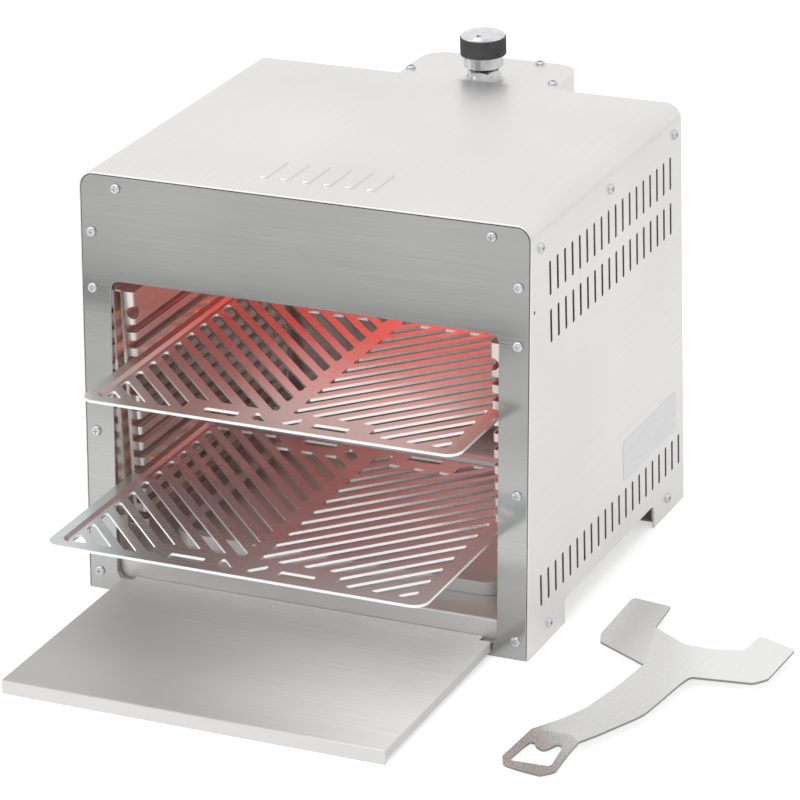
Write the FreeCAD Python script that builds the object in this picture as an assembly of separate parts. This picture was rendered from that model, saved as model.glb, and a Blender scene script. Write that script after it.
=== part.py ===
import FreeCAD, Part
import math
import os
from FreeCAD import Rotation, Vector

# Tabletop broiler grill, in millimetres. X runs to the right seen from the front, Y to the back,
# Z up. The origin is the middle of the front's bottom edge, on the table.

# Body
body_width = 400.0
body_height = 360.0
body_depth = 345.0
front_setback = 28.0  # how far the leaning front's top edge stands behind its bottom edge
cover_sheet = 1.5
corner_radius = 13.0
front_sheet = 1.5
panel_gap = 0.5  # between the front panel's edge and the cover around it
rear_sheet = 1.0
inner_sheet = 1.0
sheet_gap = 0.2  # between sheets that only lie beside each other
edge_round = 0.6
half_width = body_width / 2.0
inner_half = half_width - cover_sheet
lean = front_setback / body_height
far = 2.0 * body_width
rear_inner = body_depth - rear_sheet
arch_front = 77.0  # the side's bottom edge is cut up between these, which leaves the feet
arch_rear = body_depth - 70.0
arch_height = 21.5
arch_radius = 5.0
rear_arch_side = 45.0  # width of each rear foot, seen from behind

# Front opening
opening_side = 27.5  # from the opening to the body's side
opening_half = half_width - opening_side
opening_bottom = 10.5
opening_top = body_height - 90.0
opening_radius = 8.0
return_depth = 3.5  # the opening's edge is turned back by this much

# Vents: upright slots in the sides
vent_width = 3.8
vent_pitch = 15.18
vent_rear = 25.84  # from the upper rows' last slot to the body's rear
vent_first = body_depth - vent_rear - 17 * vent_pitch
vent_rows = [(vent_first, body_height - 67.7, body_height - 38.8, 18),
             (vent_first, body_height - 107.6, body_height - 79.4, 18), (29.6, 36.6, 64.1, 21)]
sight_hole_y = 28.6
sight_hole_z = body_height - 70.7
sight_hole_radius = 1.5

# Plain pressed ribs on the top
rib_count = 6
rib_width = 9.0
rib_length = 44.0
rib_pitch = 19.0
rib_height = 1.3
rib_middle_y = 83.0
rib_middle_x = -3.0

# Blank plate on the right side
plate_y = (body_depth - 138.0, body_depth - 18.0)
plate_z = (72.0, 107.0)
plate_thickness = 0.4
plate_radius = 2.0

# Base tray
tray_top = 28.5
tray_front = 8.0
tray_skirt_bottom = 8.0
tray_bend = 2.0

# Foot brackets
bracket_sheet = 1.5
bracket_length = 48.0
bracket_width = 18.0
bracket_height = 26.0
bracket_inset = 10.0

# Inner box
liner_gap = 0.3
liner_rear = rear_inner - 13.0
rear_liner_y = liner_rear - 11.0
ceiling_z = opening_top + 6.0
ceiling_flange = 19.0
ceiling_rear_flange = 6.0
shield_z = body_height - 33.0
shield_edge_top = body_height - 11.0
shield_bend = 3.0
shield_front_top = body_height - 4.0
cover_flange = 12.0

# Rack guides
guide_flange = 12.0
guide_liner_gap = 3.3  # from the flange's end to the liner, bridged by the ledges
guide_wall = opening_half + front_sheet + liner_gap - guide_liner_gap - guide_flange
guide_front = 33.0
guide_back = rear_liner_y - 15.0
guide_sheet = 1.5
guide_bend = 3.0
guide_bottom = 46.0
guide_top = ceiling_z - 19.0
slot_levels = 13
slot_first = guide_top - 35.5
slot_pitch = 14.0
slot_height = 7.0
slot_back = guide_back - 5.0
slot_depth = 9.0
guide_hole_z = guide_top - 18.0
guide_hole_radius = 5.5

# Racks
rack_side_gap = 1.0  # from the rack's edge to the bottom of the guides' slots
rack_half = guide_wall + slot_depth - rack_side_gap
rack_depth = 283.0
rack_sheet = 2.4
rack_radius = 12.0
rack_seat_gap = 0.2
rack_rim = 9.5  # flat rim that rides in the guides
rack_step = 2.6  # the slotted field is pressed this much lower than the rim
rack_step_run = 2.8
pressed_radius = 8.0
upper_level = 2
lower_level = 9
upper_rack_front = -52.5
lower_rack_front = -122.5
field_inner = 7.0  # slots begin this far from the middle line
field_side = 16.0  # sheet left between the slots and the rack's side edges
field_outer = rack_half - field_side
field_corner = field_outer - 69.0  # outside this the slots run further towards the rack's ends
field_end = 16.2
field_corner_end = 37.6
slot_angle = 45.0
rack_slot_pitch = 22.7  # along Y
rack_slot_width = 8.6  # square to the slot
rack_slot_phase = 46.0  # where one slot's rear edge would meet the middle line's band
rack_slot_round = 1.6
smallest_slot = 30.0
accent_end = (15.2, 24.5)
small_slot_x = (7.5, 20.5)
accent_x = (small_slot_x[1] + 13.0, field_corner - 18.0)
small_front_meet = 17.5
small_front_end = 13.5
small_rear_row = 9

# Drip pan
pan_width = 300.0
pan_depth = 240.0
pan_height = 11.7
pan_sheet = 0.8
pan_rim = 10.0
pan_radius = 18.0
pan_front = rear_liner_y - 274.5
pan_shift = 6.0  # it stands a little to the right
pan_floor_gap = 0.3

# Front shelf
shelf_half = opening_half - 4.5
shelf_front = -201.0
shelf_top = 12.5
shelf_sheet = 1.4
shelf_rear = -0.6
shelf_tongue_half = shelf_half - 10.0
shelf_hook = 7.0
shelf_hook_gap = 0.5
shelf_side_lip = 8.0
shelf_bend = 2.0

# Burner
burner_y = rear_liner_y - 150.0
tile_width = 132.0
tile_length = 92.0
tile_height = 13.0
tile_joint = 1.5
tile_lap = 7.0  # how far the ceiling frame reaches under the tiles
housing_gap = 0.75
housing_height = 41.0
housing_flange = 10.0
clamp_width = 10.0
clamp_height = 11.0
tube_radius = 15.0
tube_wall = 1.2
tube_z = ceiling_z + 24.0
tube_insert = 1.4
tube_mouth_y = body_depth + 17.0
tube_mouth_radius = 20.0
tube_mouth_length = 16.0
tube_hole_gap = 0.3

# Gas box
gas_half = 72.5
gas_reach = 92.0  # how far the gas box stands out behind the body
gas_rear = body_depth + gas_reach
gas_top = body_height - 9.0
gas_bottom = gas_top - 111.0
gas_radius = 22.0
gas_sheet = 1.0
gas_lip = 11.0
gas_ear = 12.0
gas_vent_count = 8
gas_vent_pitch = 14.0
gas_vent_width = 5.0
gas_vent_length = 30.0
lid_screw_places = [(-67.0, gas_rear - 52.0), (67.0, gas_rear - 52.0),
                    (-35.0, gas_rear - 5.0), (35.0, gas_rear - 5.0)]

# Valve, knob and gas way
valve_y = gas_rear - 47.0
valve_radius = 13.0
valve_bottom = gas_top - 63.0
valve_shoulder = gas_top - 9.0
neck_radius = 6.5
spindle_radius = 4.0
spindle_gap = 0.05
spindle_bottom = gas_top - 17.0
bore_bottom = gas_top - 23.0
washer_radius = 15.0
washer_height = 1.0
nut_height = 4.0
nut_radius = 15.0
knob_bottom = gas_top + 8.5
skirt_radius = 17.3
skirt_height = 10.0
skirt_wall = 1.2
skirt_flats = 12
band_radius = 20.0
band_height = 16.0
cap_height = 2.5
cap_bevel = 1.2
hub_bottom = knob_bottom + 7.8
push_travel = 3.0
spring_radius = 6.0
spring_wire = 0.9
spring_turns = 4.5
spring_gap = 0.3
collar_radius = 7.5
collar_height = 1.0
pointer_size = 3.4
pointer_depth = 0.4
outlet_radius = 7.0
outlet_front = valve_y - 18.0
injector_flats = 12.0
injector_front = outlet_front - 6.0
injector_tip_front = outlet_front - 15.0
injector_tip_radius = 3.0
injector_hole_radius = 0.5
inlet_pipe_radius = 4.0
inlet_hex = 17.0
inlet_hex_height = 9.0
inlet_thread_radius = 6.58
inlet_thread_length = 14.0
inlet_bore_radius = 3.0
locknut_height = 5.0
piezo_width = 14.0
piezo_depth = 20.0
piezo_height = 30.0
piezo_z = gas_top - 55.0

# Igniter, thermocouple and their leads
probe_x = 60.0
probe_y = burner_y + 113.0
probe_radius = 3.0
probe_bottom = ceiling_z - 10.0
probe_top = ceiling_z + 24.0
probe_pin_radius = 0.75
probe_pin_drop = 4.0
probe_pin_reach = 33.0
probe_bush_radius = 5.0
probe_bush_height = 4.0
lead_radius = 1.3
lead_z = probe_top + 8.0
lead_hole_radius = 4.0
lead_hole_x = 36.0

# Screws
head_radius = 4.35
head_height = 2.4
head_round = 1.8
shank_radius = 1.95
shank_length = 8.0
screw_hole_gap = 0.05
cross_width = 0.9
cross_length = 4.6
cross_depth = 1.3

front_edge = half_width - 11.0
front_screw_places = [(half_width - 34.0, body_height - 11.6), (front_edge, body_height - 50.0),
                      (front_edge, opening_top - 7.6), (front_edge, 139.0), (front_edge, 15.6)]
side_high = body_height - 22.3
side_screw_places = [(44.0, side_high), (body_depth - 157.3, side_high), (body_depth - 15.5, side_high),
                     (44.0, 15.3), (body_depth - 39.0, 15.3)]
liner_screw_y = (60.0, 175.0, rear_liner_y - 30.0)
rear_edge = half_width - 7.0
rear_screw_places = [(rear_edge, 60.0), (rear_edge, 180.0), (rear_edge, body_height - 60.0),
                     (60.0, body_height - 20.0), (half_width - 24.0, 15.0)]
gas_screw_z = (gas_top - 89.0, gas_top - 21.0)

# Rack lifter, lying on the table to the right of the body; X is counted from the body's side
lifter_sheet = 2.0
lifter_height = 11.0  # top face of its flat middle
lifter_fold_a = (80.0, 75.0)  # the left claw folds down along a-b
lifter_fold_b = (96.0, 9.0)
lifter_neck_a = (82.0, -76.0)
lifter_neck_b = (88.0, -123.0)
lifter_neck_c = (54.0, -119.0)
lifter_tail_b = (98.5, -131.0)
lifter_claw_drop = 9.0
lifter_neck_drop = 3.0
lifter_tail_drop = 9.0

liner_half = opening_half + front_sheet + liner_gap
liner_inner = liner_half - sheet_gap
skirt_half = inner_half - sheet_gap
housing_half_x = tile_width + tile_joint / 2.0 + housing_gap
housing_half_y = tile_length + tile_joint / 2.0 + housing_gap
neck_top = gas_top + washer_height + nut_height
knob_top = knob_bottom + skirt_height + band_height
parts = {}


def front_y(z):
    return lean * z


def box(x0, x1, y0, y1, z0, z1):
    return Part.makeBox(x1 - x0, y1 - y0, z1 - z0, Vector(x0, y0, z0))


def cylinder(radius, start, end):
    along = end.sub(start)
    return Part.makeCylinder(radius, along.Length, start, along)


def fuse_all(shapes):
    joined = shapes[0].fuse(shapes[1:]) if len(shapes) > 1 else shapes[0]
    return joined.removeSplitter()


def both_sides(shape):
    return [shape, shape.mirror(Vector(0, 0, 0), Vector(1, 0, 0))]


def on_xy(level):
    return lambda u, v: Vector(u, v, level)


def on_xz(level):
    return lambda u, v: Vector(u, level, v)


def on_yz(level):
    return lambda u, v: Vector(level, u, v)


def rounded_face(corners, place):
    # a flat face from (u, v, corner radius) points; each corner becomes an arc that touches its sides
    edges = []
    joins = []
    for i, (u, v, radius) in enumerate(corners):
        here = Vector(u, v, 0)
        back = Vector(*corners[i - 1][:2], 0).sub(here)
        ahead = Vector(*corners[(i + 1) % len(corners)][:2], 0).sub(here)
        back.normalize()
        ahead.normalize()
        if radius <= 0:
            joins.append((here, here, None))
            continue
        half = back.getAngle(ahead) / 2.0
        middle = back.add(ahead)
        middle.normalize()
        trim = radius / math.tan(half)
        centre = here.add(middle.multiply(radius / math.sin(half)))
        inward = here.sub(centre)
        inward.normalize()
        joins.append((here.add(back.multiply(trim)), here.add(ahead.multiply(trim)),
                      centre.add(inward.multiply(radius))))
    for i, (start, end, crown) in enumerate(joins):
        before = joins[i - 1][1]
        if before.distanceToPoint(start) > 1e-6:
            edges.append(Part.LineSegment(place(before.x, before.y), place(start.x, start.y)).toShape())
        if crown is not None:
            edges.append(Part.Arc(place(start.x, start.y), place(crown.x, crown.y),
                                  place(end.x, end.y)).toShape())
    return Part.Face(Part.Wire(edges))


def rectangle(u0, u1, v0, v1, radius, place):
    return rounded_face([(u0, v0, radius), (u1, v0, radius), (u1, v1, radius), (u0, v1, radius)], place)


def prism_x(corners, x0, x1):
    return rounded_face(corners, on_yz(x0)).extrude(Vector(x1 - x0, 0, 0))


def prism_y(corners, y0, y1):
    return rounded_face(corners, on_xz(y0)).extrude(Vector(0, y1 - y0, 0))


def prism_z(corners, z0, z1):
    return rounded_face(corners, on_xy(z0)).extrude(Vector(0, 0, z1 - z0))


def plain_box_corners(u0, u1, v0, v1, radius):
    return [(u0, v0, radius), (u1, v0, radius), (u1, v1, radius), (u0, v1, radius)]


def leaning_slab(offset, thickness):
    # all that lies between two planes parallel to the leaning front
    low = -20.0
    high = body_height + 20.0
    corners = [(front_y(low) + offset, low, 0), (front_y(low) + offset + thickness, low, 0),
               (front_y(high) + offset + thickness, high, 0), (front_y(high) + offset, high, 0)]
    return prism_x(corners, -far, far)


def body_outline(inset, bottom):
    side = half_width - inset
    top = body_height - inset
    radius = corner_radius - inset
    return [(-side, bottom, 0), (-side, top, radius), (side, top, radius), (side, bottom, 0)]


def opening_outline(grow):
    return plain_box_corners(-opening_half - grow, opening_half + grow, opening_bottom - grow,
                             opening_top + grow, opening_radius + grow)


def round_edges(shape, radius, chosen):
    edges = [edge for edge in shape.Edges if chosen(edge)]
    return shape.makeFillet(radius, edges) if edges else shape


def edge_points(edge):
    return [edge.valueAt(edge.FirstParameter + share * (edge.LastParameter - edge.FirstParameter))
            for share in (0.0, 0.5, 1.0)]


def in_front_plane(edge):
    return all(abs(p.y - front_y(p.z)) < 1e-4 for p in edge_points(edge))


def polygon_prism(sides, radius, z0, z1, turn=0.0):
    points = []
    for i in range(sides):
        angle = math.radians(turn + 360.0 * i / sides)
        points.append((radius * math.cos(angle), radius * math.sin(angle), 0))
    return prism_z(points, z0, z1)


def pan_head_screw(length):
    # a rounded head above z = 0, its shank below, and a cross in the head
    head = Part.makeCylinder(head_radius, head_height)
    head = round_edges(head, head_round, lambda e: all(p.z > head_height - 1e-6 for p in edge_points(e)))
    screw = head.fuse(Part.makeCylinder(shank_radius, length, Vector(0, 0, -length))).removeSplitter()
    long = cross_length / 2.0
    thin = cross_width / 2.0
    low = head_height - cross_depth
    cross = box(-long, long, -thin, thin, low, head_height + 1).fuse(
        box(-thin, thin, -long, long, low, head_height + 1))
    return screw.cut(cross)


def placed(shape, position, axis):
    moved = shape.copy()
    moved.Placement = FreeCAD.Placement(position, Rotation(Vector(0, 0, 1), axis))
    return moved


def screw_hole(position, axis, length):
    start = position.add(Vector(axis).multiply(length))
    end = position.sub(Vector(axis).multiply(length))
    return cylinder(shank_radius + screw_hole_gap, start, end)


def front_axis():
    axis = Vector(0, -1, lean)
    axis.normalize()
    return axis


def front_places():
    return [Vector(side * x, front_y(z), z) for x, z in front_screw_places for side in (1, -1)]


def front_holes():
    return [screw_hole(place, front_axis(), 12.0) for place in front_places()]


def side_holes():
    return [cylinder(shank_radius + screw_hole_gap, Vector(-far, y, z), Vector(far, y, z))
            for y, z in side_screw_places]


def rear_places():
    return [Vector(side * x, body_depth, z) for x, z in rear_screw_places for side in (1, -1)]


def rear_holes():
    return [screw_hole(place, Vector(0, 1, 0), 12.0) for place in rear_places()]


def gas_places():
    x = gas_half + gas_ear / 2.0
    return [Vector(side * x, body_depth + gas_sheet, z) for z in gas_screw_z for side in (1, -1)]


def gas_holes():
    return [screw_hole(place, Vector(0, 1, 0), 12.0) for place in gas_places()]


def lid_places():
    return [Vector(x, y, gas_top) for x, y in lid_screw_places]


def burner_places():
    x = housing_half_x + inner_sheet + housing_flange / 2.0
    return [Vector(side * x, burner_y + step, ceiling_z + 2.0 * inner_sheet)
            for step in (-housing_half_y * 0.7, housing_half_y * 0.7) for side in (1, -1)]


def burner_holes():
    return [screw_hole(place, Vector(0, 0, 1), 12.0) for place in burner_places()]


def liner_places():
    z = ceiling_z + ceiling_flange * 0.6
    return [(side, Vector(side * (liner_half + inner_sheet), y, z)) for y in liner_screw_y
            for side in (1, -1)]


def liner_holes():
    return [screw_hole(place, Vector(1, 0, 0), 12.0) for side, place in liner_places()]


def vent_cutters():
    cutters = []
    radius = vent_width / 2.0
    for first, low, high, count in vent_rows:
        for i in range(count):
            y = first + i * vent_pitch
            corners = plain_box_corners(y - radius, y + radius, low, high, radius * 0.98)
            cutters.append(prism_x(corners, -far, far))
    return cutters


def arch_cutter(grow):
    # the side arch, for the cover and, a little larger, for the tray's skirt
    corners = [(arch_front - grow, -5, 0), (arch_rear + grow, -5, 0),
               (arch_rear + grow, arch_height + grow, arch_radius),
               (arch_front - grow, arch_height + grow, arch_radius)]
    return prism_x(corners, -far, far)


def rear_arch_cutter(grow):
    half = half_width - rear_arch_side + grow
    corners = [(-half, -5, 0), (half, -5, 0), (half, arch_height + grow, arch_radius),
               (-half, arch_height + grow, arch_radius)]
    return prism_y(corners, rear_inner - 20, body_depth + 5)


def top_ribs():
    ribs = []
    for i in range(rib_count):
        x = rib_middle_x + (i - (rib_count - 1) / 2.0) * rib_pitch
        corners = plain_box_corners(x - rib_width / 2.0, x + rib_width / 2.0,
                                    rib_middle_y - rib_length / 2.0, rib_middle_y + rib_length / 2.0,
                                    rib_width * 0.49)
        rib = prism_z(corners, body_height - cover_sheet / 2.0, body_height + rib_height)
        top = body_height + rib_height
        ribs.append(round_edges(rib, rib_height * 0.9,
                                lambda e: all(abs(p.z - top) < 1e-6 for p in edge_points(e))))
    return ribs


def outer_cover():
    # one sheet over the top and both sides, with its rear edges turned in
    skin = prism_y(body_outline(0, 0), -5, rear_inner).cut(
        prism_y(body_outline(cover_sheet, -5), -10, rear_inner + 5))
    flange_low = tray_top + 1.0
    flange = box(inner_half - cover_flange, inner_half + cover_sheet / 2.0, rear_inner - cover_sheet,
                 rear_inner, flange_low, body_height - corner_radius)
    cover = fuse_all([skin] + both_sides(flange)).common(leaning_slab(0, far))
    cover = round_edges(cover, edge_round,
                        lambda e: in_front_plane(e) and all(p.z > 1.0 for p in edge_points(e)[1:2])
                        and (abs(edge_points(e)[1].x) > half_width - 1e-3
                             or edge_points(e)[1].z > body_height - corner_radius * 0.31))
    cover = cover.cut(vent_cutters() + [arch_cutter(0)] + side_holes() + rear_holes())
    sight = cylinder(sight_hole_radius, Vector(-far, sight_hole_y, sight_hole_z),
                     Vector(far, sight_hole_y, sight_hole_z))
    return fuse_all([cover.cut(sight)] + top_ribs())


def front_panel():
    gap = cover_sheet + panel_gap
    plate = prism_y(body_outline(gap, 0), -10, 80).common(leaning_slab(0, front_sheet))
    turned = prism_y(opening_outline(front_sheet), -10, 80).common(
        leaning_slab(0, front_sheet + return_depth))
    panel = fuse_all([plate, turned]).cut(prism_y(opening_outline(0), -20, 90))
    panel = round_edges(panel, edge_round,
                        lambda e: in_front_plane(e) and edge_points(e)[1].z > 1.0)
    return panel.cut(front_holes())


def rear_panel():
    plate = prism_y(body_outline(0, 0), rear_inner, body_depth)
    plate = plate.cut(rear_arch_cutter(0))
    tube_hole = cylinder(tube_radius + 2.0, Vector(0, rear_inner - 5, tube_z),
                         Vector(0, body_depth + 5, tube_z))
    lead_holes = both_sides(cylinder(lead_hole_radius, Vector(lead_hole_x, rear_inner - 5, lead_z),
                                     Vector(lead_hole_x, body_depth + 5, lead_z)))
    slots = []
    radius = vent_width / 2.0
    for side in (1, -1):
        for i in range(6):
            x = side * (104.0 + i * vent_pitch * 0.9)
            for low in (60.0, 105.0):
                corners = plain_box_corners(x - radius, x + radius, low, low + 28.0, radius * 0.98)
                slots.append(prism_y(corners, rear_inner - 5, body_depth + 5))
    return plate.cut([tube_hole] + lead_holes + slots + rear_holes() + gas_holes())


def base_tray():
    # a flat floor with its edges turned down; the side edges follow the feet
    half = skirt_half
    floor = box(-half, half, tray_front, rear_inner - sheet_gap, tray_skirt_bottom, tray_top)
    floor = round_edges(floor, tray_bend,
                        lambda e: all(abs(p.z - tray_top) < 1e-6 for p in edge_points(e)))
    hollow = box(-half + inner_sheet, half - inner_sheet, tray_front + inner_sheet,
                 rear_inner - sheet_gap - inner_sheet, tray_skirt_bottom - 5, tray_top - inner_sheet)
    hollow = round_edges(hollow, tray_bend - inner_sheet,
                         lambda e: all(abs(p.z - tray_top + inner_sheet) < 1e-6 for p in edge_points(e)))
    tray = floor.cut(hollow).cut([arch_cutter(1.0), rear_arch_cutter(1.0)])
    return tray.cut(front_holes() + side_holes() + rear_holes())


def foot_brackets():
    # four angles inside the corners; each stands on the table and takes a side screw
    outer = skirt_half - inner_sheet - sheet_gap / 2.0
    solids = []
    for start in (bracket_inset, rear_inner - bracket_inset - bracket_length):
        upright = box(outer - bracket_sheet, outer, start, start + bracket_length, 0, bracket_height)
        foot = box(outer - bracket_width, outer, start, start + bracket_length, 0, bracket_sheet)
        bracket = upright.fuse(foot).removeSplitter()
        bracket = round_edges(bracket, bracket_sheet,
                              lambda e: all(abs(p.x - outer) < 1e-6 and abs(p.z) < 1e-6
                                            for p in edge_points(e)))
        solids += both_sides(bracket.cut(side_holes()))
    return Part.makeCompound(solids)


def side_liner():
    # right side wall of the inner box, with a front edge turned out behind the front panel
    wall = box(liner_half, liner_half + inner_sheet, 0, liner_rear, tray_top, shield_z - sheet_gap)
    flange = box(liner_half, skirt_half, 0, 60, opening_bottom - 8.0, shield_z - sheet_gap)
    flange = flange.common(leaning_slab(front_sheet + sheet_gap / 2.0, inner_sheet))
    wall = wall.common(leaning_slab(front_sheet + sheet_gap / 2.0, far))
    liner = fuse_all([wall, flange])
    return liner.cut(front_holes() + liner_holes())


def rear_liner():
    top = ceiling_z - sheet_gap
    plate = box(-liner_inner, liner_inner, rear_liner_y, rear_liner_y + inner_sheet, tray_top, top)
    edge = box(liner_inner - inner_sheet, liner_inner, rear_liner_y, liner_rear, tray_top, top)
    return fuse_all([plate] + both_sides(edge))


def ceiling_frame():
    front = front_y(ceiling_z + ceiling_flange) + front_sheet + 0.4
    top = ceiling_z + inner_sheet
    high = ceiling_z + ceiling_flange
    plate = box(-liner_inner, liner_inner, front, liner_rear, ceiling_z, top)
    cut_x = housing_half_x - tile_lap
    cut_y = housing_half_y - tile_lap
    window = box(-cut_x, cut_x, burner_y - cut_y, burner_y + cut_y, ceiling_z - 5, top + 5)
    side = box(liner_inner - inner_sheet, liner_inner, front, liner_rear, ceiling_z, high)
    front_edge = box(-liner_inner, liner_inner, front, front + inner_sheet, ceiling_z, high)
    rear_edge = box(-liner_inner, liner_inner, liner_rear - inner_sheet, liner_rear, ceiling_z,
                    top + ceiling_rear_flange)
    frame = fuse_all([plate.cut(window), front_edge, rear_edge] + both_sides(side))
    probe_holes = both_sides(cylinder(probe_radius + 0.1, Vector(probe_x, probe_y, ceiling_z - 5),
                                      Vector(probe_x, probe_y, top + 5)))
    return frame.cut(probe_holes + burner_holes() + liner_holes())


def heat_shield():
    # a shallow pan between the burner and the top cover, screwed at its turned-up edges
    half = skirt_half
    front = front_sheet + sheet_gap / 2.0
    rear = rear_inner - cover_sheet - sheet_gap
    outline = [(-half, shield_z, shield_bend), (-half, shield_edge_top, 0), (half, shield_edge_top, 0),
               (half, shield_z, shield_bend)]
    inside = [(-half + inner_sheet, shield_z + inner_sheet, shield_bend - inner_sheet),
              (-half + inner_sheet, far, 0), (half - inner_sheet, far, 0),
              (half - inner_sheet, shield_z + inner_sheet, shield_bend - inner_sheet)]
    trough = prism_y(outline, -20, rear).cut(prism_y(inside, -30, rear + 10))
    trough = trough.common(leaning_slab(front, far))
    keep = half - inner_sheet - 2.0
    front_edge = box(-keep + 8.0, keep - 8.0, 0, 80, shield_z, shield_front_top).common(
        leaning_slab(front, inner_sheet))
    rear_edge = box(-keep, keep, rear - inner_sheet, rear, shield_z, shield_edge_top)
    rear_tabs = both_sides(box(48, 72, rear - inner_sheet, rear_inner - sheet_gap, shield_edge_top - 12,
                               shield_edge_top))
    shield = fuse_all([trough, front_edge, rear_edge] + rear_tabs)
    return shield.cut(front_holes() + side_holes() + rear_holes() + gas_holes())


def rack_guide():
    # right guide: a channel whose wall and front bend are slotted at every level
    out = guide_wall + guide_flange
    wall_out = guide_wall + guide_sheet
    channel = [(guide_wall, guide_front, guide_bend), (out, guide_front, 0),
               (out, guide_front + guide_sheet, 0),
               (wall_out, guide_front + guide_sheet, guide_bend - guide_sheet),
               (wall_out, guide_back - guide_sheet, guide_bend - guide_sheet),
               (out, guide_back - guide_sheet, 0), (out, guide_back, 0), (guide_wall, guide_back, guide_bend)]
    guide = prism_z(channel, guide_bottom, guide_top)
    ledge_end = liner_half - sheet_gap
    ledges = [box(wall_out - 0.5, ledge_end, guide_front + guide_sheet + 0.5, guide_back - guide_sheet - 0.5,
                  z, z + guide_sheet) for z in (guide_bottom, guide_top - guide_sheet)]
    guide = fuse_all([guide] + ledges)
    slots = []
    for level in range(slot_levels):
        low = slot_first - level * slot_pitch
        slots.append(box(guide_wall - 5, guide_wall + slot_depth, guide_front - 5, slot_back, low,
                         low + slot_height))
    hole = cylinder(guide_hole_radius, Vector(guide_wall - 20, guide_front - 20, guide_hole_z),
                    Vector(guide_wall + 8, guide_front + 8, guide_hole_z))
    return guide.cut(slots + [hole])


def burner_housing():
    out_x = housing_half_x + inner_sheet
    out_y = housing_half_y + inner_sheet
    low = ceiling_z + inner_sheet
    high = low + housing_height
    shell = box(-out_x, out_x, burner_y - out_y, burner_y + out_y, low, high)
    shell = shell.cut(box(-housing_half_x, housing_half_x, burner_y - housing_half_y,
                          burner_y + housing_half_y, low - 5, high - inner_sheet))
    flange = box(-out_x - housing_flange, out_x + housing_flange, burner_y - out_y - housing_flange,
                 burner_y + out_y + housing_flange, low, low + inner_sheet)
    flange = flange.cut(box(-out_x, out_x, burner_y - out_y, burner_y + out_y, low - 5, low + 5))
    tube_hole = cylinder(tube_radius + tube_hole_gap, Vector(0, burner_y, tube_z), Vector(0, far, tube_z))
    probe_gaps = both_sides(cylinder(probe_bush_radius + 1.0, Vector(probe_x, probe_y, low - 5),
                                     Vector(probe_x, probe_y, low + 5)))
    return fuse_all([shell, flange]).cut([tube_hole] + probe_gaps + burner_holes())


def burner_tiles():
    low = ceiling_z + inner_sheet
    solids = []
    for x in (-tile_width - tile_joint / 2.0, tile_joint / 2.0):
        for y in (-tile_length - tile_joint / 2.0, tile_joint / 2.0):
            solids.append(box(x, x + tile_width, burner_y + y, burner_y + y + tile_length, low,
                              low + tile_height))
    return Part.makeCompound(solids)


def tile_clamp():
    half_x = housing_half_x - sheet_gap
    half_y = housing_half_y - sheet_gap
    low = ceiling_z + inner_sheet + tile_height
    ring = box(-half_x, half_x, burner_y - half_y, burner_y + half_y, low, low + clamp_height)
    step = box(-half_x + inner_sheet, half_x - inner_sheet, burner_y - half_y + inner_sheet,
               burner_y + half_y - inner_sheet, low + inner_sheet, low + 50)
    window = box(-half_x + clamp_width, half_x - clamp_width, burner_y - half_y + clamp_width,
                 burner_y + half_y - clamp_width, low - 5, low + 5)
    tube_gap = cylinder(tube_radius + 1.0, Vector(0, burner_y, tube_z), Vector(0, far, tube_z))
    return ring.cut([step, window, tube_gap])


def mixing_tube():
    # a straight tube with a bell mouth, revolved about its own axis
    start = burner_y + housing_half_y + inner_sheet - tube_insert
    bell = tube_mouth_y - tube_mouth_length
    inner = tube_radius - tube_wall
    outline = [Part.LineSegment(Vector(tube_radius, start, 0), Vector(tube_radius, bell, 0)).toShape(),
               Part.Arc(Vector(tube_radius, bell, 0), Vector(tube_radius + 1.2, bell + 10, 0),
                        Vector(tube_mouth_radius, tube_mouth_y, 0)).toShape(),
               Part.LineSegment(Vector(tube_mouth_radius, tube_mouth_y, 0),
                                Vector(tube_mouth_radius - tube_wall, tube_mouth_y, 0)).toShape(),
               Part.Arc(Vector(tube_mouth_radius - tube_wall, tube_mouth_y, 0),
                        Vector(inner + 1.2, bell + 10, 0), Vector(inner, bell, 0)).toShape(),
               Part.LineSegment(Vector(inner, bell, 0), Vector(inner, start, 0)).toShape(),
               Part.LineSegment(Vector(inner, start, 0), Vector(tube_radius, start, 0)).toShape()]
    tube = Part.Face(Part.Wire(outline)).revolve(Vector(0, 0, 0), Vector(0, 1, 0), 360)
    tube.translate(Vector(0, 0, tube_z))
    return tube


def gas_outline(inset):
    return [(-gas_half + inset, body_depth, 0), (gas_half - inset, body_depth, 0),
            (gas_half - inset, gas_rear - inset, gas_radius - inset),
            (-gas_half + inset, gas_rear - inset, gas_radius - inset)]


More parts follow.
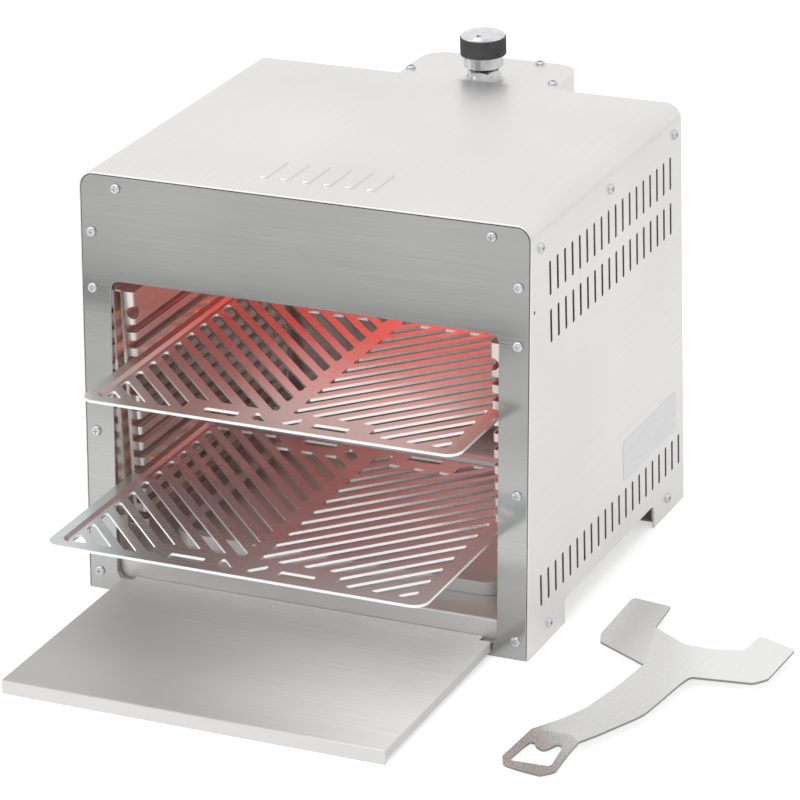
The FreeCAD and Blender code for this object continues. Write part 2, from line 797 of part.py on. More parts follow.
def gas_box():
    top = gas_top - gas_sheet
    shell = prism_z(gas_outline(0), gas_bottom, top)
    inner = prism_z(gas_outline(gas_sheet), gas_bottom + gas_sheet, top - gas_sheet)
    mouth = prism_z([(-gas_half + gas_lip, body_depth - 20, 0), (gas_half - gas_lip, body_depth - 20, 0),
                     (gas_half - gas_lip, gas_rear - gas_lip, gas_radius - gas_lip),
                     (-gas_half + gas_lip, gas_rear - gas_lip, gas_radius - gas_lip)],
                    top - gas_sheet - 5, top + 5)
    ears = both_sides(box(gas_half - 0.5, gas_half + gas_ear, body_depth, body_depth + gas_sheet,
                          gas_bottom + 5, top - 5))
    vents = []
    for i in range(gas_vent_count):
        x = (i - (gas_vent_count - 1) / 2.0) * gas_vent_pitch
        for y in (body_depth + 8.0, ):
            corners = plain_box_corners(x - gas_vent_width / 2.0, x + gas_vent_width / 2.0, y,
                                        y + gas_vent_length, gas_vent_width * 0.49)
            vents.append(prism_z(corners, gas_bottom - 5, gas_bottom + 5))
    inlet_hole = cylinder(inlet_thread_radius + 0.4, Vector(0, valve_y, gas_bottom - 5),
                          Vector(0, valve_y, gas_bottom + 5))
    lid_holes = [screw_hole(place, Vector(0, 0, 1), 12.0) for place in lid_places()]
    box_shell = fuse_all([shell.cut([inner, mouth])] + ears)
    return box_shell.cut(vents + [inlet_hole] + lid_holes + gas_holes())


def gas_box_lid():
    lid = prism_z(gas_outline(0), gas_top - gas_sheet, gas_top)
    neck_hole = cylinder(neck_radius + 0.1, Vector(0, valve_y, gas_top - 5), Vector(0, valve_y, gas_top + 5))
    return lid.cut([neck_hole] + [screw_hole(place, Vector(0, 0, 1), 12.0) for place in lid_places()])


def at_valve(shape):
    shape.translate(Vector(0, valve_y, 0))
    return shape


def gas_valve():
    # a round body under the lid, a threaded neck through it, and an outlet towards the burner
    body = Part.makeCylinder(valve_radius, valve_shoulder - valve_bottom, Vector(0, 0, valve_bottom))
    shoulder = Part.makeCone(valve_radius, neck_radius + 3.0, gas_top - gas_sheet - valve_shoulder - sheet_gap,
                             Vector(0, 0, valve_shoulder))
    neck = Part.makeCylinder(neck_radius, neck_top - valve_shoulder, Vector(0, 0, valve_shoulder))
    outlet = cylinder(outlet_radius, Vector(0, 0, tube_z), Vector(0, outlet_front - valve_y, tube_z))
    valve = at_valve(fuse_all([body, shoulder, neck, outlet]))
    bore = cylinder(spindle_radius + spindle_gap, Vector(0, valve_y, bore_bottom), Vector(0, valve_y, far))
    return valve.cut(bore)


def hexagon(flats, z0, z1):
    return polygon_prism(6, flats / math.sqrt(3.0), z0, z1)


def gas_injector():
    hexa = hexagon(injector_flats, 0, outlet_front - injector_front)
    tip = Part.makeCylinder(injector_tip_radius, outlet_front - injector_tip_front)
    bore = Part.makeCylinder(injector_hole_radius, far, Vector(0, 0, -5))
    return placed(hexa.fuse(tip).removeSplitter().cut(bore), Vector(0, outlet_front, tube_z),
                  Vector(0, -1, 0))


def gas_inlet():
    # pipe from the valve down through the box floor, with its hexagon and hose thread below
    hex_low = gas_bottom - inlet_hex_height
    pipe = Part.makeCylinder(inlet_pipe_radius, valve_bottom - hex_low, Vector(0, 0, hex_low))
    stub = Part.makeCylinder(inlet_thread_radius, gas_bottom + gas_sheet + locknut_height + 2.0 - hex_low,
                             Vector(0, 0, hex_low))
    hexa = hexagon(inlet_hex, hex_low, gas_bottom)
    thread = Part.makeCylinder(inlet_thread_radius, inlet_thread_length, Vector(0, 0, hex_low - inlet_thread_length))
    inlet = fuse_all([pipe, stub, hexa, thread])
    bore = Part.makeCylinder(inlet_bore_radius, far, Vector(0, 0, hex_low - inlet_thread_length - 5))
    return at_valve(inlet.cut(bore.common(Part.makeBox(far, far, valve_bottom, Vector(-far / 2, -far / 2, 0)))))


def inlet_locknut():
    low = gas_bottom + gas_sheet
    nut = hexagon(inlet_hex, low, low + locknut_height)
    return at_valve(nut.cut(Part.makeCylinder(inlet_thread_radius + 0.05, 60, Vector(0, 0, low - 10))))


def valve_washer():
    # a toothed lock washer under the nut
    teeth = 12
    ring = Part.makeCylinder(washer_radius - 1.2, washer_height, Vector(0, 0, gas_top))
    tooth = box(0, washer_radius, -1.3, 1.3, gas_top, gas_top + washer_height)
    solids = [ring]
    for i in range(teeth):
        copy = tooth.copy()
        copy.rotate(Vector(0, 0, 0), Vector(0, 0, 1), i * 360.0 / teeth)
        solids.append(copy)
    bore = Part.makeCylinder(neck_radius + 0.05, 20, Vector(0, 0, gas_top - 10))
    return at_valve(fuse_all(solids).cut(bore))


def valve_nut():
    low = gas_top + washer_height
    nut = polygon_prism(6, nut_radius, low, low + nut_height, 8.0)
    dome = Part.makeCone(nut_radius + 4.0, nut_radius - 2.2, nut_height + 0.2, Vector(0, 0, low))
    bore = Part.makeCylinder(neck_radius + 0.05, 20, Vector(0, 0, low - 10))
    return at_valve(nut.common(dome).cut(bore))


def valve_spindle():
    top = hub_bottom + 15.0
    return at_valve(Part.makeCylinder(spindle_radius, top - spindle_bottom, Vector(0, 0, spindle_bottom)))


def thrust_collar():
    low = hub_bottom - sheet_gap - collar_height
    ring = Part.makeCylinder(collar_radius, collar_height, Vector(0, 0, low))
    return at_valve(ring.cut(Part.makeCylinder(spindle_radius + 0.08, 20, Vector(0, 0, low - 5))))


def return_spring():
    # one wire wound round the spindle, from the valve's neck up to the collar
    low = neck_top + spring_gap + spring_wire / 2.0
    high = hub_bottom - sheet_gap - collar_height - spring_gap - spring_wire / 2.0
    helix = Part.makeHelix((high - low) / spring_turns, high - low, spring_radius)
    ring = Part.Wire(Part.makeCircle(spring_wire / 2.0, Vector(spring_radius, 0, 0), Vector(0, 1, 0)))
    spring = Part.Wire(helix.Edges).makePipeShell([ring], True, True)
    spring.translate(Vector(0, 0, low))
    return at_valve(spring)


def knob_skirt():
    # bright metal core: a faceted skirt, a web and a hub that grips the spindle
    skirt_top = knob_bottom + skirt_height
    skirt = polygon_prism(skirt_flats * 2, skirt_radius / math.cos(math.pi / (2 * skirt_flats)), knob_bottom,
                          skirt_top)
    core = Part.makeCylinder(band_radius - 3.0, band_height, Vector(0, 0, skirt_top))
    hollow = Part.makeCylinder(skirt_radius - skirt_wall, hub_bottom - knob_bottom, Vector(0, 0, knob_bottom))
    bore = Part.makeCylinder(spindle_radius + 0.02, 15.2, Vector(0, 0, hub_bottom))
    return at_valve(fuse_all([skirt, core]).cut([hollow, bore]))


def knob_band():
    low = knob_bottom + skirt_height
    ring = Part.makeCylinder(band_radius, band_height, Vector(0, 0, low))
    ring = round_edges(ring, 0.7, lambda e: len(e.Vertexes) == 1)
    return at_valve(ring.cut(Part.makeCylinder(band_radius - 3.0 + 0.02, 60, Vector(0, 0, low - 20))))


def knob_cap():
    radius = band_radius - 0.8
    cap = Part.makeCylinder(radius, cap_height - cap_bevel, Vector(0, 0, knob_top))
    bevel = Part.makeCone(radius, radius - 2.4, cap_bevel, Vector(0, 0, knob_top + cap_height - cap_bevel))
    return at_valve(fuse_all([cap, bevel])).cut(pointer_solid(0.05))


def pointer_solid(grow):
    high = knob_top + cap_height
    size = pointer_size + grow
    points = [(size * math.cos(math.radians(a)), size * math.sin(math.radians(a)) - 9.0, 0)
              for a in (-90, 30, 150)]
    return at_valve(prism_z(points, high - pointer_depth - grow, high))


def piezo_igniter():
    start = valve_radius * 0.55
    block = box(start, start + piezo_width + 8.0, valve_y - piezo_depth / 2.0, valve_y + piezo_depth / 2.0,
                piezo_z, piezo_z + piezo_height)
    block = round_edges(block, 2.0, lambda e: abs(edge_points(e)[0].z - edge_points(e)[2].z) > 10
                        and edge_points(e)[0].x > start + 1)
    return block.cut(Part.makeCylinder(valve_radius + 0.1, far, Vector(0, valve_y, 0)))


def probe(side):
    # ceramic-bodied rod with a bent tip under the tiles and a bush that rests on the ceiling frame
    centre = Vector(side * probe_x, probe_y, 0)
    bush_low = ceiling_z + inner_sheet
    rod = Part.makeCylinder(probe_radius, probe_top - probe_bottom, centre.add(Vector(0, 0, probe_bottom)))
    bush = Part.makeCylinder(probe_bush_radius, probe_bush_height, centre.add(Vector(0, 0, bush_low)))
    pin_z = probe_bottom - probe_pin_drop
    drop = cylinder(probe_pin_radius, centre.add(Vector(0, 0, probe_bottom + 1)), centre.add(Vector(0, 0, pin_z)))
    reach = cylinder(probe_pin_radius, centre.add(Vector(0, 0, pin_z)),
                     centre.add(Vector(0, -probe_pin_reach, pin_z)))
    elbow = Part.makeSphere(probe_pin_radius, centre.add(Vector(0, 0, pin_z)))
    return fuse_all([rod, bush, drop, elbow, reach])


def bent_tube(points, radius):
    # straight runs joined by arcs that touch them, each arc as large as its two runs allow
    edges = []
    before = points[0]
    for i in range(1, len(points) - 1):
        here = points[i]
        back = points[i - 1].sub(here)
        ahead = points[i + 1].sub(here)
        trim = 0.45 * min(back.Length, ahead.Length)
        back.normalize()
        ahead.normalize()
        half = back.getAngle(ahead) / 2.0
        start = here.add(Vector(back).multiply(trim))
        end = here.add(Vector(ahead).multiply(trim))
        middle = back.add(ahead)
        middle.normalize()
        bend = trim * math.tan(half)
        crown = here.add(middle.multiply(bend / math.sin(half) - bend))
        edges.append(Part.LineSegment(before, start).toShape())
        edges.append(Part.Arc(start, crown, end).toShape())
        before = end
    edges.append(Part.LineSegment(before, points[-1]).toShape())
    first = points[1].sub(points[0])
    ring = Part.Wire(Part.makeCircle(radius, points[0], first))
    return Part.Wire(edges).makePipeShell([ring], True, False)


def lead_end(side):
    # from the rear panel's hole over the ceiling frame and down on the probe
    behind = body_depth + 9.0
    within = body_depth - 9.0
    return [Vector(side * lead_hole_x, behind, lead_z), Vector(side * lead_hole_x, within, lead_z),
            Vector(side * (lead_hole_x + 8.0), within - 20.0, lead_z + 2.0),
            Vector(side * (probe_x - 6.0), probe_y + 15.0, lead_z + 4.0),
            Vector(side * probe_x, probe_y, lead_z + 4.0),
            Vector(side * probe_x, probe_y, probe_top)]


def igniter_lead():
    x = lead_hole_x - 13.0
    front = valve_y - piezo_depth / 2.0
    return bent_tube([Vector(x, front, lead_z), Vector(x, front - 12.0, lead_z)] + lead_end(1), lead_radius)


def thermocouple_lead():
    start = Vector(-valve_radius, valve_y, lead_z)
    socket = Vector(-(lead_hole_x - 12.0), valve_y, lead_z)
    bend = Vector(-(lead_hole_x - 2.0), body_depth + 23.0, lead_z)
    return bent_tube([start, socket, bend] + lead_end(-1), lead_radius)


def label_plate():
    face = rectangle(plate_y[0], plate_y[1], plate_z[0], plate_z[1], plate_radius, on_yz(half_width))
    return face.extrude(Vector(plate_thickness, 0, 0))


def slot_field(side):
    # where slots may be cut, on one side of the middle line
    inner = side * field_inner
    corner = side * field_corner
    outer = side * field_outer
    far_end = rack_depth - field_end
    far_corner_end = rack_depth - field_corner_end
    corners = [(inner, field_corner_end, 0), (corner, field_corner_end, 0), (corner, field_end, 0),
               (outer, field_end, 0), (outer, far_end, 0), (corner, far_end, 0),
               (corner, far_corner_end, 0), (inner, far_corner_end, 0)]
    return rounded_face(corners, on_xy(0))


def slot_strip(side, meet):
    # an endless slot that runs outwards and to the rear; its rear edge meets the middle band at meet
    angle = math.radians(slot_angle)
    along = Vector(side * math.cos(angle), math.sin(angle), 0)
    width = Vector(side * math.sin(angle), -math.cos(angle), 0).multiply(rack_slot_width)
    start = Vector(side * field_inner, meet, 0).sub(Vector(along).multiply(far))
    end = start.add(Vector(along).multiply(2.0 * far))
    return Part.Face(Part.makePolygon([start, end, end.add(width), start.add(width), start]))


def rounded_holes(face):
    # the same outlines with their sharp corners rounded
    shrunk = face.makeOffset2D(-rack_slot_round, join=2)
    return shrunk.makeOffset2D(rack_slot_round, join=0)


def mirrored_range(side, ends):
    low, high = sorted((side * ends[0], side * ends[1]))
    return low, high


def rack_holes():
    holes = []
    rows = int(rack_depth / rack_slot_pitch) + 1
    for side in (1, -1):
        pieces = []
        field = slot_field(side)
        for row in range(-rows, rows):
            pieces += field.common(slot_strip(side, rack_slot_phase + row * rack_slot_pitch)).Faces
        x0, x1 = mirrored_range(side, small_slot_x)
        front_patch = rectangle(x0, x1, small_front_end, field_corner_end, 0, on_xy(0))
        pieces += front_patch.common(slot_strip(side, small_front_meet)).Faces
        rear_patch = rectangle(x0, x1, rack_depth / 2.0, rack_depth - field_end, 0, on_xy(0))
        rear_meet = rack_slot_phase + small_rear_row * rack_slot_pitch
        pieces += rear_patch.common(slot_strip(side, rear_meet)).Faces
        holes += [rounded_holes(face) for face in pieces if face.Area > smallest_slot]
        x0, x1 = mirrored_range(side, accent_x)
        for low, high in (accent_end, (rack_depth - accent_end[1], rack_depth - accent_end[0])):
            holes.append(rectangle(x0, x1, low, high, rack_slot_round, on_xy(0)))
    return holes


def rack_outline(inset, radius):
    corners_half = rack_half - inset
    return plain_box_corners(-corners_half, corners_half, inset, rack_depth - inset, radius)


def pressed_slope(inset, low, high):
    # the slanted side of the pressed field: it narrows downwards from inset at the rim's level
    slope = rack_step_run / rack_step
    wires = []
    for level in (low, high):
        drop = (high - 1.0 - level) * slope
        face = rounded_face(rack_outline(inset + drop, pressed_radius), on_xy(level))
        wires.append(face.OuterWire)
    return Part.makeLoft(wires, True, True)


def rack(front, level):
    # a slotted plate whose field is pressed lower than the flat rim that rides in the guides
    rim_top = rack_step + rack_sheet
    skew = rack_sheet * math.tan(math.atan2(rack_step, rack_step_run) / 2.0)
    plate = prism_z(rack_outline(0.0, rack_radius), 0, rim_top)
    pocket = pressed_slope(rack_rim, rack_sheet, rim_top + 1.0)
    boss = pressed_slope(rack_rim - skew, -1.0, rack_step + 1.0)
    under = prism_z(rack_outline(-1.0, rack_radius), -0.5, rack_step).cut(boss)
    cutters = [face.extrude(Vector(0, 0, 20)) for face in rack_holes()]
    for cutter in cutters:
        cutter.translate(Vector(0, 0, -5))
    grid = plate.cut([pocket, under] + cutters)
    rim_low = slot_first - level * slot_pitch + rack_seat_gap
    grid.translate(Vector(0, front, rim_low - rack_step))
    return grid


def drip_pan():
    def outline(inset):
        half = pan_width / 2.0 - inset
        return plain_box_corners(-half, half, inset, pan_depth - inset, pan_radius - inset)
    pan = prism_z(outline(0), 0, pan_height)
    inside = prism_z(outline(pan_sheet), pan_sheet, pan_height - pan_sheet)
    mouth = prism_z(outline(pan_rim), pan_height - 2 * pan_sheet, pan_height + 5)
    pan = pan.cut([inside, mouth])
    pan.translate(Vector(pan_shift, pan_front, tray_top + pan_floor_gap))
    return pan


def front_shelf():
    # a flat sheet with its front and side edges turned down and a tongue that hooks over the rail
    low = shelf_top - shelf_sheet
    plate = box(-shelf_half, shelf_half, shelf_front, shelf_rear, low, shelf_top)
    lip = box(-shelf_half, shelf_half, shelf_front, shelf_front + shelf_sheet, 0, shelf_top)
    sides = both_sides(box(shelf_half - shelf_sheet, shelf_half, shelf_front, shelf_rear - 2.0,
                           shelf_top - shelf_side_lip, shelf_top))
    hook_back = front_y(opening_bottom) + front_sheet + return_depth + shelf_hook_gap + inner_sheet
    tongue = box(-shelf_tongue_half, shelf_tongue_half, shelf_rear - 1.0, hook_back, low, shelf_top)
    hook = box(-shelf_tongue_half, shelf_tongue_half, hook_back - inner_sheet, hook_back,
               shelf_top - shelf_hook, shelf_top)
    shelf = fuse_all([plate, lip, tongue, hook] + sides)
    shelf = round_edges(shelf, shelf_bend * 0.6, lambda e: all(
        abs(p.z - shelf_top) < 1e-6 and (abs(p.y - shelf_front) < 1e-6 or abs(abs(p.x) - shelf_half) < 1e-6)
        for p in edge_points(e)))
    return shelf


def plane_through(a, b, c):
    # the height of the plane through three points, as a function of x and y
    normal = b.sub(a).cross(c.sub(a))
    return lambda x, y: a.z - (normal.x * (x - a.x) + normal.y * (y - a.y)) / normal.z


def facet(corners, height):
    # a flat piece of sheet with this outline seen from above, lying in a sloping plane
    reach = 260.0
    cx, cy = 120.0, -40.0
    sheet = [Vector(cx + sx * reach, cy + sy * reach, height(cx + sx * reach, cy + sy * reach))
             for sx, sy in ((-1, -1), (1, -1), (1, 1), (-1, 1))]
    slab = Part.Face(Part.makePolygon(sheet + [sheet[0]])).extrude(Vector(0, 0, -lifter_sheet))
    return prism_z(corners, -50, 60).common(slab)


def at_height(point, height):
    return Vector(point[0], point[1], height)


def rack_lifter():
    top = lifter_height
    fold_a, fold_b = lifter_fold_a, lifter_fold_b
    neck_a, neck_b, neck_c, tail_b = lifter_neck_a, lifter_neck_b, lifter_neck_c, lifter_tail_b
    middle = facet([neck_a + (0,), neck_b + (0,), tail_b + (0,), (107, -116, 20), (128, -72, 60), (135, -13, 60),
                    (138, 2, 5), (188, 9, 9), (196, 20, 6), (198.5, 76, 3), (164, 90, 3), (161, 61, 4),
                    (138, 54, 25), (113, 54, 25), fold_a + (0,), fold_b + (0,), (90, -36, 60)],
                   lambda x, y: top)
    claw_plane = plane_through(at_height(fold_a, top), at_height(fold_b, top),
                               Vector(37, 68, top - lifter_claw_drop))
    claw = facet([fold_a + (0,), fold_b + (0,), (41, 52, 8), (36, 66, 8), (38, 131, 3), (79, 112, 3)],
                 claw_plane)
    neck_plane = plane_through(at_height(neck_a, top), at_height(neck_b, top),
                               at_height(neck_c, top - lifter_neck_drop))
    neck = facet([neck_a + (0,), neck_b + (0,), neck_c + (0,), (61, -110, 6), (71, -97, 10)], neck_plane)
    tail_plane = plane_through(at_height(neck_b, top), at_height(neck_c, top - lifter_neck_drop),
                               Vector(70, -176, top - lifter_tail_drop))
    tail = facet([neck_b + (0,), tail_b + (0,), (97, -145, 10), (96, -172, 5), (86, -178, 5),
                  (52, -170, 9), (46, -158, 9), neck_c + (0,)], tail_plane)
    mouth = prism_z([(53, -162, 3), (57, -146, 4), (61, -133, 3), (68, -142, 5), (76, -147, 5),
                     (84, -135, 3), (89, -141, 4), (89.5, -166, 3)], -50, 60)
    lifter = fuse_all([middle, claw, neck, tail]).cut(mouth)
    lifter.translate(Vector(half_width, 0, 0))
    return lifter


def screws(places, axis, length):
    screw = pan_head_screw(length)
    return Part.makeCompound([placed(screw, place, axis) for place in places])


def side_screws():
    screw = pan_head_screw(shank_length)
    return Part.makeCompound([placed(screw, Vector(side * half_width, y, z), Vector(side, 0, 0))
                              for y, z in side_screw_places for side in (1, -1)])


def liner_screws():
    screw = pan_head_screw(shank_length - 3.0)
    return Part.makeCompound([placed(screw, place, Vector(side, 0, 0)) for side, place in liner_places()])


def left_of(shape):
    return shape.mirror(Vector(0, 0, 0), Vector(1, 0, 0))


parts["outer_cover"] = outer_cover()
parts["front_panel"] = front_panel()
parts["rear_panel"] = rear_panel()
parts["base_tray"] = base_tray()
parts["foot_brackets"] = foot_brackets()
parts["right_liner"] = side_liner()
parts["left_liner"] = left_of(parts["right_liner"])
parts["rear_liner"] = rear_liner()
parts["ceiling_frame"] = ceiling_frame()
parts["heat_shield"] = heat_shield()
parts["right_rack_guide"] = rack_guide()
parts["left_rack_guide"] = left_of(parts["right_rack_guide"])
parts["burner_housing"] = burner_housing()
parts["burner_tiles"] = burner_tiles()
parts["tile_clamp"] = tile_clamp()
parts["mixing_tube"] = mixing_tube()
parts["gas_box"] = gas_box()
parts["gas_box_lid"] = gas_box_lid()
parts["gas_valve"] = gas_valve()
parts["gas_injector"] = gas_injector()
parts["gas_inlet"] = gas_inlet()
parts["inlet_locknut"] = inlet_locknut()
parts["valve_washer"] = valve_washer()
parts["valve_nut"] = valve_nut()
parts["valve_spindle"] = valve_spindle()
parts["thrust_collar"] = thrust_collar()
parts["return_spring"] = return_spring()
parts["knob_skirt"] = knob_skirt()
parts["knob_band"] = knob_band()
parts["knob_cap"] = knob_cap()
parts["knob_pointer"] = pointer_solid(0.0)
parts["piezo_igniter"] = piezo_igniter()
parts["igniter_electrode"] = probe(1)
parts["thermocouple"] = probe(-1)
parts["igniter_lead"] = igniter_lead()
parts["thermocouple_lead"] = thermocouple_lead()
parts["label_plate"] = label_plate()
parts["front_screws"] = screws(front_places(), front_axis(), shank_length)
parts["side_screws"] = side_screws()
parts["rear_screws"] = screws(rear_places(), Vector(0, 1, 0), shank_length)
parts["gas_box_screws"] = screws(gas_places(), Vector(0, 1, 0), shank_length)
parts["lid_screws"] = screws(lid_places(), Vector(0, 0, 1), shank_length)
parts["burner_screws"] = screws(burner_places(), Vector(0, 0, 1), shank_length - 3.0)
parts["liner_screws"] = liner_screws()
parts["upper_rack"] = rack(upper_rack_front, upper_level)
parts["lower_rack"] = rack(lower_rack_front, lower_level)
parts["drip_pan"] = drip_pan()
parts["front_shelf"] = front_shelf()
parts["rack_lifter"] = rack_lifter()

os.makedirs("parts", exist_ok=True)
for name, shape in parts.items():
    shape.exportStep("parts/" + name + ".step")
    print(name, len(shape.Solids), round(shape.Volume / 1000.0, 2), "cm3", shape.isValid())
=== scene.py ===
import math

import bpy
import numpy as np
from mathutils import Matrix, Vector


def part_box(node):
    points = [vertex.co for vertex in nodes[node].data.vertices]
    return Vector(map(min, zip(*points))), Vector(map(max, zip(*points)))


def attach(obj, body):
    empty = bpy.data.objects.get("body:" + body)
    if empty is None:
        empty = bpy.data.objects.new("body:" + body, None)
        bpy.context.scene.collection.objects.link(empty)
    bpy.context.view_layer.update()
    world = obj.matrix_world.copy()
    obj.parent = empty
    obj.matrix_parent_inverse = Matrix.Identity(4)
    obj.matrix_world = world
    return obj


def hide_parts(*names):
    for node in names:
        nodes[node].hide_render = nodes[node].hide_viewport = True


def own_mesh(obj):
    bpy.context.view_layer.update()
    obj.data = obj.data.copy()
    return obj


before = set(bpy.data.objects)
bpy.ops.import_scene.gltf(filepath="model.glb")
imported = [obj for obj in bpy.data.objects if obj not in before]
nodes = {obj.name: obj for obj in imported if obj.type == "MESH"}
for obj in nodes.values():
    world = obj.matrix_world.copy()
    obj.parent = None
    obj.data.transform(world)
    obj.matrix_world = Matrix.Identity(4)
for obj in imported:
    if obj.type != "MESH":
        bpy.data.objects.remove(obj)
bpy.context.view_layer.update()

scene = bpy.context.scene
print("frame loaded:", len(nodes), "pieces")


cameraView = {
    "target": (0.0, 0.150, 0.150),  # metres, in the part's own frame
    "azimuth": 25.62,               # degrees to the right of straight ahead
    "elevation": 22.65,
    "roll": -2.07,
    "distance": 3.36154,
    "aside": 0.02126,               # how far the camera stands off the line through the target
    "above": -0.01001,
    "focal": 4021.93,               # in pixels of the picture
    "picture": 800.0,               # how many pixels wide it is
    "film": 36.0,                   # mm
    "sight": 50.0,                  # how far the camera sees
}


def linked(name, data):
    thing = bpy.data.objects.new(name, data)
    scene.collection.objects.link(thing)
    return thing


def placeCamera(view):
    az, el, roll = (math.radians(view[key]) for key in ("azimuth", "elevation", "roll"))
    back = Vector((math.sin(az) * math.cos(el), -math.cos(az) * math.cos(el), math.sin(el)))
    level = (-back).cross(Vector((0, 0, 1))).normalized()
    upright = level.cross(-back)
    right = level * math.cos(roll) + upright * math.sin(roll)
    up = upright * math.cos(roll) - level * math.sin(roll)
    place = Vector(view["target"]) + back * view["distance"] + right * view["aside"] + up * view["above"]
    data = bpy.data.cameras.new("photoCamera")
    data.sensor_width = view["film"]
    data.lens = view["focal"] * view["film"] / view["picture"]
    data.clip_end = view["sight"]
    camera = linked("photoCamera", data)
    turn = Matrix((right, up, back)).transposed()
    camera.matrix_world = Matrix.Translation(place) @ turn.to_4x4()
    scene.camera = camera


placeCamera(cameraView)
print("camera placed")


def linearColour(code):
    # an sRGB hex code as a linear colour: each channel goes through the standard curve
    channels = []
    for at in (0, 2, 4):
        value = int(code[at:at + 2], 16) / 255.0
        channels.append(value / 12.92 if value <= 0.04045 else ((value + 0.055) / 1.055) ** 2.4)
    return (*channels, 1.0)


def addNode(tree, kind, settings=None, sockets=None):
    # one node; a socket is set to a value, or linked when it is given another node's output
    node = tree.nodes.new(kind)
    for name, value in (settings or {}).items():
        setattr(node, name, value)
    for name, value in (sockets or {}).items():
        if isinstance(value, bpy.types.NodeSocket):
            tree.links.new(value, node.inputs[name])
        else:
            node.inputs[name].default_value = value
    return node


def startMaterial(name):
    material = bpy.data.materials.new(name)
    material.use_nodes = True
    material.node_tree.nodes.clear()
    return material, material.node_tree


def endMaterial(tree, shader):
    addNode(tree, "ShaderNodeOutputMaterial", None, {"Surface": shader.outputs[0]})


def stretchedNoise(tree, sizes, detail=2.0, rough=0.5):
    # noise whose grains are as long as sizes says along X, Y and Z, in millimetres
    place = addNode(tree, "ShaderNodeTexCoord")
    scale = tuple(1000.0 / size for size in sizes)
    stretch = addNode(tree, "ShaderNodeMapping", None, {"Vector": place.outputs["Object"], "Scale": scale})
    return addNode(tree, "ShaderNodeTexNoise", None,
                   {"Vector": stretch.outputs[0], "Scale": 1.0, "Detail": detail, "Roughness": rough}).outputs["Fac"]


def spread(tree, value, low, high, fromLow=0.3, fromHigh=0.7):
    # a pattern's own range laid over low to high
    return addNode(tree, "ShaderNodeMapRange", None,
                   {"Value": value, "From Min": fromLow, "From Max": fromHigh,
                    "To Min": low, "To Max": high}).outputs[0]


def mixColour(tree, factor, first, second):
    node = addNode(tree, "ShaderNodeMix", {"data_type": "RGBA"})
    for socket, value in ((node.inputs[0], factor), (node.inputs[6], first), (node.inputs[7], second)):
        if isinstance(value, bpy.types.NodeSocket):
            tree.links.new(value, socket)
        else:
            socket.default_value = value
    return node.outputs[2]


def grainSizes(along, length, width):
    # the rolled grain is long in one direction and narrow across it
    return tuple(length if axis == along else width for axis in "XYZ")


def paintedSheenSweep(tree, look, tone):
    # a painted sheen: the sheet is painted a lighter colour in one direction, standing in for light and reflections
    # that grow there, measured in millimetres along it
    place = addNode(tree, "ShaderNodeTexCoord")
    slant = addNode(tree, "ShaderNodeVectorMath", {"operation": "DOT_PRODUCT"},
                    {0: place.outputs["Object"], 1: look["sweepAlong"]})
    low, high = look["sweepFrom"]
    across = addNode(tree, "ShaderNodeMapRange", {"interpolation_type": "SMOOTHSTEP"},
                     {"Value": slant.outputs["Value"], "From Min": low / 1000.0, "From Max": high / 1000.0})
    return mixColour(tree, across.outputs[0], tone, linearColour(look["sweep"]))


def cutEdges(tree, look, tone):
    # painted edge highlight and shade: the faces whose normals lie level, the sheet's cut edges and bent lips, are
    # painted a colour of their own, lighter on the racks and shelf, darker on the lifter
    place = addNode(tree, "ShaderNodeTexCoord")
    parts = addNode(tree, "ShaderNodeSeparateXYZ", None, {"Vector": place.outputs["Normal"]})
    upright = addNode(tree, "ShaderNodeMath", {"operation": "ABSOLUTE"}, {0: parts.outputs[look["flat"]]})
    edge = spread(tree, upright.outputs[0], 1.0, 0.0, *look["edgeFrom"])
    return mixColour(tree, edge, tone, linearColour(look["cut"]))


def heatTintWarmLight(tree, look, tone):
    # a warm tint that grows towards the burner, from below to above: partly heat tint of the steel, partly painted
    # warm light from the burner's glow
    place = addNode(tree, "ShaderNodeTexCoord")
    parts = addNode(tree, "ShaderNodeSeparateXYZ", None, {"Vector": place.outputs["Object"]})
    low, high = look["warmFrom"]
    height = spread(tree, parts.outputs["Z"], 0.0, look["warmth"], low / 1000.0, high / 1000.0)
    return mixColour(tree, height, tone, linearColour(look["warm"]))


def steel(name, look):
    # stainless sheet: long fine grain, broad cloudy patches, faint smears, and where a finish asks for them a painted
    # sheen, painted edge highlights and shade, and a warm tint
    material, tree = startMaterial(name)
    grain = stretchedNoise(tree, grainSizes(look["along"], look["grainLength"], look["grainWidth"]), 1.0)
    cloud = stretchedNoise(tree, (look["cloud"],) * 3, 1.5)
    smear = stretchedNoise(tree, grainSizes(look["along"], look["smear"] * look["smearStretch"], look["smear"]))
    colour = mixColour(tree, spread(tree, cloud, 0.0, 1.0), linearColour(look["dark"]), linearColour(look["light"]))
    if "sweep" in look:
        colour = paintedSheenSweep(tree, look, colour)
    lines = spread(tree, grain, 0.0, look["contrast"], *look["lineFrom"])
    colour = mixColour(tree, lines, colour, linearColour(look["line"]))
    if "cut" in look:
        colour = cutEdges(tree, look, colour)
    if "warm" in look:
        colour = heatTintWarmLight(tree, look, colour)
    rough = addNode(tree, "ShaderNodeMath", {"operation": "ADD"},
                    {0: spread(tree, smear, look["smooth"], look["rough"]),
                     1: spread(tree, grain, -look["grainRough"], look["grainRough"])}).outputs[0]
    bump = addNode(tree, "ShaderNodeBump", None,
                   {"Height": grain, "Strength": look["relief"], "Distance": look["depth"] / 1000.0})
    shader = addNode(tree, "ShaderNodeBsdfPrincipled", None,
                     {"Base Color": colour, "Metallic": look["metal"], "Roughness": rough, "Normal": bump.outputs[0]})
    endMaterial(tree, shader)
    return material


